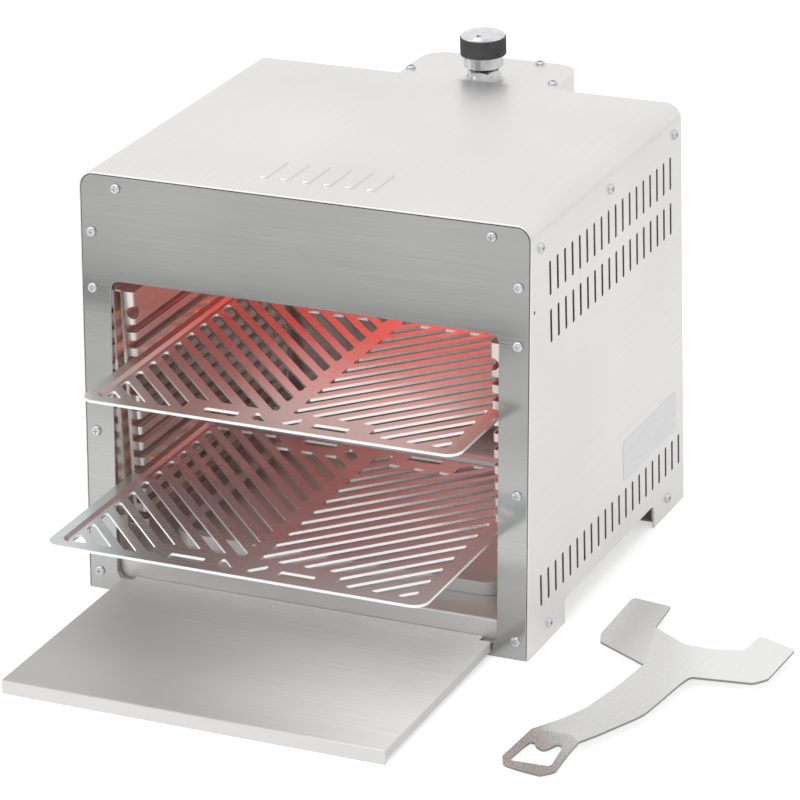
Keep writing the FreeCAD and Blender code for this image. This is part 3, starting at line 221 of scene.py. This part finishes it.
satinSheet = {
    # satin rolled stainless steel, as the cover is: soft broad reflections and a barely seen grain.
    # The real grain is 0.1 mm wide, too fine to show, so it is drawn 0.8 mm wide. All lengths in mm
    "along": "Y", "grainLength": 90.0, "grainWidth": 0.8, "cloud": 170.0, "smear": 90.0, "smearStretch": 2.2,
    "light": "ECEBEA", "dark": "E4E3E2", "line": "D4D3D2", "contrast": 0.22, "lineFrom": (0.25, 0.75),
    "smooth": 0.30, "rough": 0.36, "grainRough": 0.03, "relief": 0.04, "depth": 0.02, "metal": 1.0,
    "edgeFrom": (0.2, 0.7),
}


def likeSheet(**changes):
    return {**satinSheet, **changes}


steelLooks = {
    "satinCoverSteel": satinSheet,
    # the front sheet's grain runs from side to side; it is the cover's steel painted darker, painted shade for
    # facing the darker side of the room, and its legs are painted brighter than its top, a painted sheen of the lit
    # floor
    "satinFrontSteel": likeSheet(along="X", light="A3A3A2", dark="9B9B9A", line="919190", smooth=0.10, rough=0.16,
                                 relief=0.02, sweep="BBBBBA", sweepAlong=(0.0, 0.0, -1.0),
                                 sweepFrom=(-200.0, -110.0)),
    # the shelf is painted darker at its front left and lighter towards the rear right, a painted sheen for the light
    # and reflections it gets there, and its front lip, whose normal lies level, is painted light
    "satinShelfSteel": likeSheet(along="X", light="BAB9B8", dark="B1B0AF", line="A2A1A0", smooth=0.44, rough=0.54,
                                 metal=0.12, cut="DDDCDB", flat="Z", sweep="FAF9F8", sweepAlong=(1.0, 1.2, 0.0),
                                 sweepFrom=(-270.0, 10.0)),
    # the tray under everything: plain, a little dulled by fat and heat
    "satinTraySteel": likeSheet(along="X", light="E2E0DE", dark="D6D3D0", line="C2BFBC", smooth=0.34, rough=0.44,
                                metal=0.55),
    # electropolished rack plate, greyer and warmer, with painted highlights on its edges, whose normals lie level
    "polishedRackSteel": likeSheet(along="X", light="DED8D4", dark="D2CCC8", line="C0B9B5",
                                   cut="FAF7F5", flat="Z", smooth=0.26, rough=0.36, grainLength=40.0,
                                   relief=0.01, metal=0.9),
    # the lower rack is a second copy of the same plate, a little darker and cooler in tone, with the same painted
    # edge highlights
    "polishedLowRackSteel": likeSheet(along="X", light="D6DADA", dark="C9CDCE", line="B6BABA",
                                      cut="FAF9F8", flat="Z", smooth=0.26, rough=0.36, grainLength=40.0,
                                      relief=0.01, metal=0.9),
    # bright mirror-like lining, tinted warm towards the top: partly heat tint from the burner, partly painted warm
    # light from its glow
    "brightLinerSteel": likeSheet(along="Z", light="F0EAE6", dark="E4DDD9", line="D2CAC6", smooth=0.14, rough=0.26,
                                  warm="C8B2A6", warmth=0.5, warmFrom=(150.0, 320.0), metal=0.85),
    # plain inner steel that no one sees from outside: duller
    "dullInnerSteel": likeSheet(along="X", light="B9B7B5", dark="A6A4A2", line="8F8D8B", smooth=0.30, rough=0.45),
    # the lifter is a pale and smooth sheet, with painted shade on its edges, whose normals lie level
    "satinLifterSteel": likeSheet(along="Y", light="F6F6F5", dark="EEEEED", line="E2E2E1", smooth=0.22, rough=0.28,
                                  grainLength=50.0, relief=0.01, cut="8E8E8D", flat="Z"),
    # zinc plated screws: a little darker than the sheet, small and shiny
    "platedScrewSteel": likeSheet(along="Z", light="DCDCDE", dark="C8C8CC", line="A8A8AE", smooth=0.14, rough=0.32,
                                  grainLength=3.0, grainWidth=0.6, cloud=8.0, smear=6.0),
    # spring wire: drawn, grey and fairly smooth
    "drawnSpringWire": likeSheet(along="Z", light="A9A7A4", dark="8D8B88", line="6C6A68", smooth=0.25, rough=0.4,
                                 grainLength=2.0, grainWidth=0.5, cloud=6.0, smear=4.0),
}

materials = {name: steel(name, look) for name, look in steelLooks.items()}
print("steel finishes made:", len(materials))


machinedBrass = {
    "bright": "DDB766", "dull": "B48C45", "mark": 0.3, "markLength": 6.0, "patch": 6.0,
    "smooth": 0.22, "rough": 0.4, "relief": 0.25, "depth": 0.05,
}


def brass(name, look):
    # machined brass: fine rings of tool marks, warm yellow, darker in the patches that have dulled
    material, tree = startMaterial(name)
    marks = stretchedNoise(tree, (look["markLength"], look["markLength"], look["mark"]))
    dulled = stretchedNoise(tree, (look["patch"],) * 3, 3.0, 0.55)
    colour = mixColour(tree, spread(tree, dulled, 0.0, 1.0), linearColour(look["bright"]), linearColour(look["dull"]))
    rough = spread(tree, dulled, look["smooth"], look["rough"])
    bump = addNode(tree, "ShaderNodeBump", None,
                   {"Height": marks, "Strength": look["relief"], "Distance": look["depth"] / 1000.0})
    shader = addNode(tree, "ShaderNodeBsdfPrincipled", None,
                     {"Base Color": colour, "Metallic": 1.0, "Roughness": rough, "Normal": bump.outputs[0]})
    endMaterial(tree, shader)
    return material


chromePlate = {"bright": "E9E9EA", "dull": "D4D5D8", "haze": 9.0, "smooth": 0.05, "rough": 0.14}


def chrome(name, look):
    # bright nickel and chrome plate: nearly a mirror, with a faint haze of handling
    material, tree = startMaterial(name)
    haze = stretchedNoise(tree, (look["haze"],) * 3, 4.0, 0.6)
    colour = mixColour(tree, spread(tree, haze, 0.0, 1.0), linearColour(look["bright"]), linearColour(look["dull"]))
    shader = addNode(tree, "ShaderNodeBsdfPrincipled", None,
                     {"Base Color": colour, "Metallic": 1.0,
                      "Roughness": spread(tree, haze, look["smooth"], look["rough"])})
    endMaterial(tree, shader)
    return material


grainyLooks = {
    # soft black rubber, matt, that has greyed a little where fingers hold it
    "knurledRubber": {
        "light": "4A494A", "dark": "39383A", "grain": 0.35, "drift": 9.0, "relief": 0.35, "depth": 0.06,
        "ior": 1.52, "smooth": 0.5, "rough": 0.7},
    # white alumina of the two probes, with a soft gloss
    "glazedAlumina": {
        "light": "EDE9E0", "dark": "DDD7CB", "grain": 0.5, "drift": 12.0, "relief": 0.1, "depth": 0.03,
        "ior": 1.7, "smooth": 0.25, "rough": 0.4},
    # matt black enamel in the pointer's groove, the darkest thing on the bright cap
    "blackPointerPaint": {
        "light": "2A2A2C", "dark": "222224", "grain": 0.4, "drift": 5.0, "relief": 0.15, "depth": 0.02,
        "ior": 1.5, "smooth": 0.4, "rough": 0.55},
    # moulded nylon of the igniter: dark, half matt, with the fine grain of its mould
    "mouldedNylon": {
        "light": "2B2C2E", "dark": "1F2022", "grain": 0.5, "drift": 10.0, "relief": 0.2, "depth": 0.04,
        "ior": 1.53, "smooth": 0.4, "rough": 0.55},
}


def grainy(name, look):
    # a plastic, rubber, ceramic or paint: matt or glossy, with a fine grain and slow drifts of tone
    material, tree = startMaterial(name)
    grain = stretchedNoise(tree, (look["grain"],) * 3, 3.0, 0.6)
    drift = stretchedNoise(tree, (look["drift"],) * 3)
    colour = mixColour(tree, spread(tree, drift, 0.0, 1.0), linearColour(look["light"]), linearColour(look["dark"]))
    bump = addNode(tree, "ShaderNodeBump", None,
                   {"Height": grain, "Strength": look["relief"], "Distance": look["depth"] / 1000.0})
    shader = addNode(tree, "ShaderNodeBsdfPrincipled", None,
                     {"Base Color": colour, "Metallic": 0.0, "IOR": look["ior"],
                      "Roughness": spread(tree, grain, look["smooth"], look["rough"]), "Normal": bump.outputs[0]})
    endMaterial(tree, shader)
    return material


materials["machinedBrass"] = brass("machinedBrass", machinedBrass)
materials["chromePlate"] = chrome("chromePlate", chromePlate)
for name, look in grainyLooks.items():
    materials[name] = grainy(name, look)


glassSleeve = {
    "thread": "C9C2B2", "gap": "8C8473",
    "band": 24.0,        # mm
    "slant": 0.7,        # radians
    "wobble": 1.5, "rough": 0.75, "relief": 0.5, "depth": 0.2, "fuzz": 0.3,
}


def braid(name, look):
    # a woven glass sleeve: two sets of bands that cross on the slant
    material, tree = startMaterial(name)
    place = addNode(tree, "ShaderNodeTexCoord")
    waves = []
    for slant in (look["slant"], -look["slant"]):
        turned = addNode(tree, "ShaderNodeMapping", None,
                         {"Vector": place.outputs["Object"], "Rotation": (slant, slant, slant)})
        waves.append(addNode(tree, "ShaderNodeTexWave", None,
                             {"Vector": turned.outputs[0], "Scale": 1000.0 / look["band"],
                              "Distortion": look["wobble"]}).outputs["Fac"])
    weave = addNode(tree, "ShaderNodeMath", {"operation": "MAXIMUM"}, {0: waves[0], 1: waves[1]}).outputs[0]
    colour = mixColour(tree, weave, linearColour(look["gap"]), linearColour(look["thread"]))
    bump = addNode(tree, "ShaderNodeBump", None,
                   {"Height": weave, "Strength": look["relief"], "Distance": look["depth"] / 1000.0})
    shader = addNode(tree, "ShaderNodeBsdfPrincipled", None,
                     {"Base Color": colour, "Roughness": look["rough"], "Normal": bump.outputs[0],
                      "Sheen Weight": look["fuzz"]})
    endMaterial(tree, shader)
    return material


bareFoil = {
    "light": "EFEFF0", "dark": "E2E2E4", "length": 30.0, "width": 0.6, "metal": 0.5, "smooth": 0.35, "rough": 0.5,
}


def foil(name, look):
    # bare brushed aluminium of the small side plate: flat, matt, nothing printed on it
    material, tree = startMaterial(name)
    grain = stretchedNoise(tree, grainSizes("Y", look["length"], look["width"]))
    colour = mixColour(tree, spread(tree, grain, 0.0, 1.0), linearColour(look["light"]), linearColour(look["dark"]))
    shader = addNode(tree, "ShaderNodeBsdfPrincipled", None,
                     {"Base Color": colour, "Metallic": look["metal"],
                      "Roughness": spread(tree, grain, look["smooth"], look["rough"])})
    endMaterial(tree, shader)
    return material


materials["glassSleeve"] = braid("glassSleeve", glassSleeve)
materials["bareFoil"] = foil("bareFoil", bareFoil)


tileGlow = {
    "cool": "B01808",    # the parts that are no hotter than dull red
    "hot": "F02010",
    "ember": "5A1408",   # glow between the holes' rims
    "strength": 1.1,
    "dim": 0.06,         # the share of it that the front of the burner has
    "from": (135.0, 235.0),  # millimetres behind the front, where it grows
    "holePitch": 2.4,    # real holes stand 1.6 mm apart; drawn wider so that they show
    "jitter": 0.05,
    "rim": (0.15, 0.45),     # where a hole's rim begins and ends, as a share of the pitch
    "patch": 40.0,           # how large the hotter patches are, mm
    "coolest": 0.25,
    "body": "B9A693",
    # the body's colour in the holes, darker than the rest
    "holeColour": "4A2A20",
    "rough": 0.85, "relief": 0.6, "depth": 0.4,
}


def glowingCeramic(name, look):
    # cordierite tile full of small holes: it glows orange-red on the rims, in hotter and cooler patches
    material, tree = startMaterial(name)
    place = addNode(tree, "ShaderNodeTexCoord")
    cells = addNode(tree, "ShaderNodeTexVoronoi", {"voronoi_dimensions": "2D"},
                    {"Vector": place.outputs["Object"], "Scale": 1000.0 / look["holePitch"],
                     "Randomness": look["jitter"]})
    holes = spread(tree, cells.outputs["Distance"], 0.0, 1.0, *look["rim"])
    heat = stretchedNoise(tree, (look["patch"],) * 3)
    hot = mixColour(tree, spread(tree, heat, look["coolest"], 1.0),
                    linearColour(look["cool"]), linearColour(look["hot"]))
    glow = mixColour(tree, holes, linearColour(look["ember"]), hot)
    parts = addNode(tree, "ShaderNodeSeparateXYZ", None, {"Vector": place.outputs["Object"]})
    front, back = look["from"]
    level = addNode(tree, "ShaderNodeMapRange", {"interpolation_type": "SMOOTHSTEP"},
                    {"Value": parts.outputs["Y"], "From Min": front / 1000.0, "From Max": back / 1000.0,
                     "To Min": look["dim"] * look["strength"], "To Max": look["strength"]}).outputs[0]
    bump = addNode(tree, "ShaderNodeBump", None,
                   {"Height": holes, "Strength": look["relief"], "Distance": look["depth"] / 1000.0})
    shader = addNode(tree, "ShaderNodeBsdfPrincipled", None,
                     {"Base Color": mixColour(tree, holes, linearColour(look["holeColour"]), linearColour(look["body"])),
                      "Roughness": look["rough"], "Emission Color": glow, "Emission Strength": level,
                      "Normal": bump.outputs[0]})
    endMaterial(tree, shader)
    return material


materials["glowingCordierite"] = glowingCeramic("glowingCordierite", tileGlow)


# a painted glow: the liners emit dull red where the burner's red light falls on them, partly the glow of hot sheet
linerGlow = {
    "colour": "E0120A",
    "strength": 2.2,
    # where the glow grows from none to all of it, in millimetres
    "height": (185.0, 280.0),
    "depth": (110.0, 285.0),
    "middle": -30.0,          # where it is hottest, from the middle line
    "half": 190.0,
    "side": 0.25,             # the share left at the sides
    "centre": (0.0, 0.150, 0.200),  # metres: only faces that look towards this point glow
}


def hotLinerPaintedGlow(name, look, glow):
    # the lining round the burner: the same bright sheet, with a dull red glow painted on where the burner's red light
    # falls most; partly the glow of hot sheet, partly painted light
    material = steel(name, look)
    tree = material.node_tree
    shader = next(node for node in tree.nodes if node.type == "BSDF_PRINCIPLED")
    place = addNode(tree, "ShaderNodeTexCoord")
    parts = addNode(tree, "ShaderNodeSeparateXYZ", None, {"Vector": place.outputs["Object"]})
    aside = addNode(tree, "ShaderNodeMath", {"operation": "SUBTRACT"},
                    {0: parts.outputs["X"], 1: glow["middle"] / 1000.0}).outputs[0]
    away = addNode(tree, "ShaderNodeMath", {"operation": "ABSOLUTE"}, {0: aside}).outputs[0]
    inward = addNode(tree, "ShaderNodeVectorMath", {"operation": "SUBTRACT"},
                     {0: glow["centre"], 1: place.outputs["Object"]}).outputs[0]
    facing = addNode(tree, "ShaderNodeVectorMath", {"operation": "DOT_PRODUCT"},
                     {0: place.outputs["Normal"], 1: inward}).outputs["Value"]
    inner = addNode(tree, "ShaderNodeMath", {"operation": "GREATER_THAN"}, {0: facing, 1: 0.0}).outputs[0]
    heat = addNode(tree, "ShaderNodeMath", {"operation": "MULTIPLY"}, {0: inner, 1: glow["strength"]}).outputs[0]
    for value, (low, high), least, most in ((parts.outputs["Z"], glow["height"], 0.0, 1.0),
                                            (parts.outputs["Y"], glow["depth"], 0.0, 1.0),
                                            (away, (0.0, glow["half"]), 1.0, glow["side"])):
        ramp = addNode(tree, "ShaderNodeMapRange", {"interpolation_type": "SMOOTHSTEP"},
                       {"Value": value, "From Min": low / 1000.0, "From Max": high / 1000.0,
                        "To Min": least, "To Max": most}).outputs[0]
        heat = addNode(tree, "ShaderNodeMath", {"operation": "MULTIPLY"}, {0: ramp, 1: heat}).outputs[0]
    shader.inputs["Emission Color"].default_value = linearColour(glow["colour"])
    tree.links.new(heat, shader.inputs["Emission Strength"])
    return material


materials["hotLinerPaintedGlowSteel"] = hotLinerPaintedGlow("hotLinerPaintedGlowSteel", steelLooks["brightLinerSteel"], linerGlow)
print("other finishes made, materials in all:", len(materials))


# every piece gets its finish

finishes = {
    "satinCoverSteel": ("outer_cover", "rear_panel", "gas_box", "gas_box_lid"),
    "satinFrontSteel": ("front_panel",),
    "satinShelfSteel": ("front_shelf",),
    "polishedRackSteel": ("upper_rack",),
    "polishedLowRackSteel": ("lower_rack",),
    "hotLinerPaintedGlowSteel": ("rear_liner", "left_liner", "right_liner"),
    "brightLinerSteel": ("left_rack_guide", "right_rack_guide", "ceiling_frame", "burner_housing", "tile_clamp"),
    "satinTraySteel": ("base_tray", "drip_pan"),
    "dullInnerSteel": ("foot_brackets", "heat_shield", "mixing_tube"),
    "satinLifterSteel": ("rack_lifter",),
    "platedScrewSteel": ("front_screws", "side_screws", "rear_screws", "gas_box_screws", "lid_screws",
                         "burner_screws", "liner_screws"),
    "drawnSpringWire": ("return_spring",),
    "machinedBrass": ("gas_valve", "gas_injector", "gas_inlet", "inlet_locknut", "valve_spindle"),
    "chromePlate": ("knob_skirt", "knob_cap", "valve_nut", "valve_washer", "thrust_collar"),
    "knurledRubber": ("knob_band",),
    "blackPointerPaint": ("knob_pointer",),
    "mouldedNylon": ("piezo_igniter",),
    "glazedAlumina": ("igniter_electrode", "thermocouple"),
    "glassSleeve": ("igniter_lead", "thermocouple_lead"),
    "bareFoil": ("label_plate",),
    "glowingCordierite": ("burner_tiles",),
}

for finish, names in finishes.items():
    for name in names:
        nodes[name].data.materials.clear()
        nodes[name].data.materials.append(materials[finish])
print("pieces finished:", sum(len(names) for names in finishes.values()))


# finer pieces, each a closed surface worked out point by point, in place of a plainer node

def closedSurface(name, points, joined, material):
    # points is rows x columns x 3; quads join neighbours, columns always close on themselves,
    # rows do too when joined is true, and otherwise the two end rows are filled
    rows, columns = points.shape[:2]
    row = np.arange(rows if joined else rows - 1)[:, None]
    column = np.arange(columns)[None, :]
    after, beside = (row + 1) % rows, (column + 1) % columns
    quads = np.stack([row * columns + column, row * columns + beside,
                      after * columns + beside, after * columns + column], axis=-1).reshape(-1, 4).tolist()
    if not joined:
        quads += [list(range(columns))[::-1], list(range((rows - 1) * columns, rows * columns))]
    mesh = bpy.data.meshes.new(name)
    mesh.from_pydata(points.reshape(-1, 3).tolist(), [], quads)
    mesh.polygons.foreach_set("use_smooth", np.ones(len(mesh.polygons), dtype=bool))
    mesh.materials.append(material)
    mesh.update()
    return linked(name, mesh)


def middleOf(node):
    # a node's box: its middle seen from above, half its width, its bottom and its top, in metres
    low, high = (np.array(corner, float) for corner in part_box(node))
    return (low + high)[:2] / 2.0, (high - low)[0] / 2.0, low[2], high[2]


wireSpring = {
    "wire": 0.45,        # radius, mm
    "turns": 4.5,
    "closed": 0.75,      # turns at each end that lie on the next one
    "steps": 48,         # along one turn
    "around": 12,        # round the wire
    "travel": 3.0,       # how far the knob presses it, mm
}


def returnSpring(look):
    # a wound wire: its height grows by one wire a turn in the closed ends and evenly between them
    centre, reach, bottom, top = middleOf("return_spring")
    wire = look["wire"] / 1000.0
    turn = np.linspace(0.0, look["turns"], int(look["turns"] * look["steps"]) + 1)
    ends = 2.0 * wire * look["closed"]
    first, last = bottom + wire, top - wire
    height = np.interp(turn, [0.0, look["closed"], look["turns"] - look["closed"], look["turns"]],
                       [first, first + ends, last - ends, last])
    angle = 2.0 * math.pi * turn
    outward = np.stack([np.cos(angle), np.sin(angle), np.zeros_like(angle)], axis=-1)
    path = outward * (reach - wire) + np.append(centre, 0.0)
    path[:, 2] = height
    along = np.gradient(path, axis=0)
    along /= np.linalg.norm(along, axis=1, keepdims=True)
    upward = np.cross(along, outward)
    around = np.linspace(0.0, 2.0 * math.pi, look["around"], endpoint=False)
    points = (path[:, None] + wire * (np.cos(around)[None, :, None] * outward[:, None]
                                      + np.sin(around)[None, :, None] * upward[:, None]))
    points[..., 2] = np.clip(points[..., 2], bottom, top)
    spring = closedSurface("returnSpring", points, False, materials["drawnSpringWire"])
    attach(spring, "housing")
    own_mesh(spring)
    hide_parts("return_spring")


knurledBand = {
    "bore": 17.02,       # inner radius, mm
    "round": 0.7,        # rounding of its outer edges
    "grooves": 60,       # in each of the two slanted sets
    "depth": 0.35,       # how deep a groove is, mm
    "width": 0.35,       # a groove's half width as a share of the sine it is cut from
    "fade": 1.2,         # how far from the ends the grooves run out, mm
    "steps": 600,        # round the band
    "rows": 76,          # up the band
    "corner": 4,         # points along each rounding
}


def knobBand(look):
    # a ring whose outside is cut by two crossing sets of slanted grooves: at each point the depth is
    # the deeper of the two, and each is a bell curve of the sine of its own slanted angle
    centre, reach, bottom, top = middleOf("knob_band")
    bore, edge, depth, fade = (look[key] / 1000.0 for key in ("bore", "round", "depth", "fade"))
    corner = np.linspace(0.0, math.pi / 2.0, look["corner"] + 2)[1:-1]
    level = np.linspace(bottom + edge, top - edge, look["rows"])
    sideRadius = np.concatenate([[bore, bore], reach - edge + edge * np.sin(corner), np.full(level.shape, reach),
                                 reach - edge + edge * np.cos(corner), [reach - edge]])
    sideHeight = np.concatenate([[top, bottom], bottom + edge - edge * np.cos(corner), level,
                                 top - edge + edge * np.sin(corner), [top]])
    angle = np.linspace(0.0, 2.0 * math.pi, look["steps"], endpoint=False)[:, None]
    waves = look["grooves"] / 2.0
    slant = waves * (sideHeight - bottom) / reach
    first = np.sin(waves * angle + slant)
    second = np.sin(waves * angle - slant)
    groove = np.maximum(np.exp(-(first / look["width"]) ** 2), np.exp(-(second / look["width"]) ** 2))
    inside = np.clip(np.minimum(sideHeight - bottom - edge, top - edge - sideHeight) / fade, 0.0, 1.0)
    inside[:2] = 0.0
    radius = sideRadius - depth * groove * inside
    points = np.stack([centre[0] + radius * np.cos(angle), centre[1] + radius * np.sin(angle),
                       np.broadcast_to(sideHeight, radius.shape)], axis=-1)
    # the rows run backwards round the ring, so that the faces look outwards
    band = closedSurface("knobBand", points[::-1], True, materials["knurledRubber"])
    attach(band, "knob")
    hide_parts("knob_band")


returnSpring(wireSpring)
knobBand(knurledBand)
print("finer pieces made")


studio = {
    "floorSize": 9.0,       # all lengths in metres
    "floor": "F4F4F4",
    "floorGlow": 0.48,      # added for the camera alone, so that the lit floor is white
    "floorShine": 0.20,     # added for what the metal mirrors of it
    "skyDiffuse": 0.60,     # the room's light on matt surfaces
    "skyFront": 0.85,       # what metal sees of the room in front
    "skyBack": 0.97,        # and of the white backdrop behind
    "skyTurn": 0.6,         # how far from the middle one changes into the other
    "strip": {"across": (-0.90, -0.22), "ahead": (-0.915, -1.02), "height": 0.001, "colour": "404040"},
    "aim": (0.0, 0.15, 0.15),   # where a lamp points unless it says otherwise
    "topLamp": {"place": (-0.3, -0.6, 2.5), "size": 3.2, "power": 30.0},
    "sideLamp": {"place": (-2.4, -1.6, 1.5), "size": 2.0, "power": 9.0},
    "frontLamp": {"place": (-0.2, -1.6, 1.0), "size": 1.5, "power": 5.5, "mirrored": False},
    # the pale light that fills the oven from the burner's white ceramic above the racks
    "ovenLamp": {"place": (-0.02, 0.150, 0.274), "size": 0.20, "power": 0.065, "aim": (-0.02, 0.150, 0.0)},
}


def levelSheet(name, across, ahead, height):
    # one level rectangle of the studio, which is not part of the object
    (left, right), (near, far) = across, ahead
    mesh = bpy.data.meshes.new(name)
    mesh.from_pydata([(left, far, height), (right, far, height), (right, near, height), (left, near, height)],
                     [], [(0, 1, 2, 3)])
    return linked(name, mesh)


def paleFloor(size):
    half = size / 2.0
    floor = levelSheet("paleFloor", (-half, half), (half, -half), 0.0)
    material, tree = startMaterial("paleFloorPaint")
    rays = addNode(tree, "ShaderNodeLightPath")
    mirrored = addNode(tree, "ShaderNodeMath", {"operation": "MULTIPLY"},
                       {0: rays.outputs["Is Glossy Ray"], 1: studio["floorShine"]})
    glow = addNode(tree, "ShaderNodeMath", {"operation": "MULTIPLY_ADD"},
                   {0: rays.outputs["Is Camera Ray"], 1: studio["floorGlow"], 2: mirrored.outputs[0]})
    shader = addNode(tree, "ShaderNodeBsdfPrincipled", None,
                     {"Base Color": linearColour(studio["floor"]), "Roughness": 0.9, "Specular IOR Level": 0.0,
                      "Emission Color": (1, 1, 1, 1), "Emission Strength": glow.outputs[0]})
    endMaterial(tree, shader)
    floor.data.materials.append(material)


def darkStrip(look):
    # a strip of unlit floor that only metal sees: the front sheet mirrors its edge as a level band
    strip = levelSheet("darkStrip", look["across"], look["ahead"], look["height"])
    strip.visible_camera = False
    strip.visible_diffuse = False
    strip.visible_shadow = False
    material, tree = startMaterial("greyStripPaint")
    endMaterial(tree, addNode(tree, "ShaderNodeBsdfDiffuse", None, {"Color": linearColour(look["colour"])}))
    strip.data.materials.append(material)


def room():
    world = bpy.data.worlds.new("studioRoom")
    scene.world = world
    world.use_nodes = True
    tree = world.node_tree
    tree.nodes.clear()
    rays = addNode(tree, "ShaderNodeLightPath")
    place = addNode(tree, "ShaderNodeTexCoord")
    parts = addNode(tree, "ShaderNodeSeparateXYZ", None, {"Vector": place.outputs["Generated"]})
    turn = studio["skyTurn"]
    depth = spread(tree, parts.outputs["Y"], studio["skyFront"], studio["skyBack"], -turn, turn)
    diffuse = addNode(tree, "ShaderNodeMix", {"data_type": "FLOAT"},
                      {0: rays.outputs["Is Diffuse Ray"], 2: depth, 3: studio["skyDiffuse"]})
    seen = addNode(tree, "ShaderNodeMath", {"operation": "MAXIMUM"},
                   {0: rays.outputs["Is Camera Ray"], 1: rays.outputs["Is Transmission Ray"]})
    level = addNode(tree, "ShaderNodeMix", {"data_type": "FLOAT"},
                    {0: seen.outputs[0], 2: diffuse.outputs[0], 3: 1.0})
    sky = addNode(tree, "ShaderNodeBackground", None, {"Color": (1, 1, 1, 1), "Strength": level.outputs[0]})
    addNode(tree, "ShaderNodeOutputWorld", None, {"Surface": sky.outputs[0]})


def softLamp(name, look):
    data = bpy.data.lights.new(name, "AREA")
    data.size = look["size"]
    data.energy = look["power"]
    lamp = linked(name, data)
    lamp.visible_camera = False
    lamp.visible_glossy = look.get("mirrored", True)
    place = Vector(look["place"])
    aim = Vector(look.get("aim", studio["aim"])) - place
    lamp.matrix_world = Matrix.Translation(place) @ aim.to_track_quat("-Z", "Y").to_matrix().to_4x4()


paleFloor(studio["floorSize"])
darkStrip(studio["strip"])
room()
for lampName in ("topLamp", "sideLamp", "frontLamp", "ovenLamp"):
    softLamp(lampName, studio[lampName])
scene.view_settings.view_transform = "Standard"
print("studio lit")
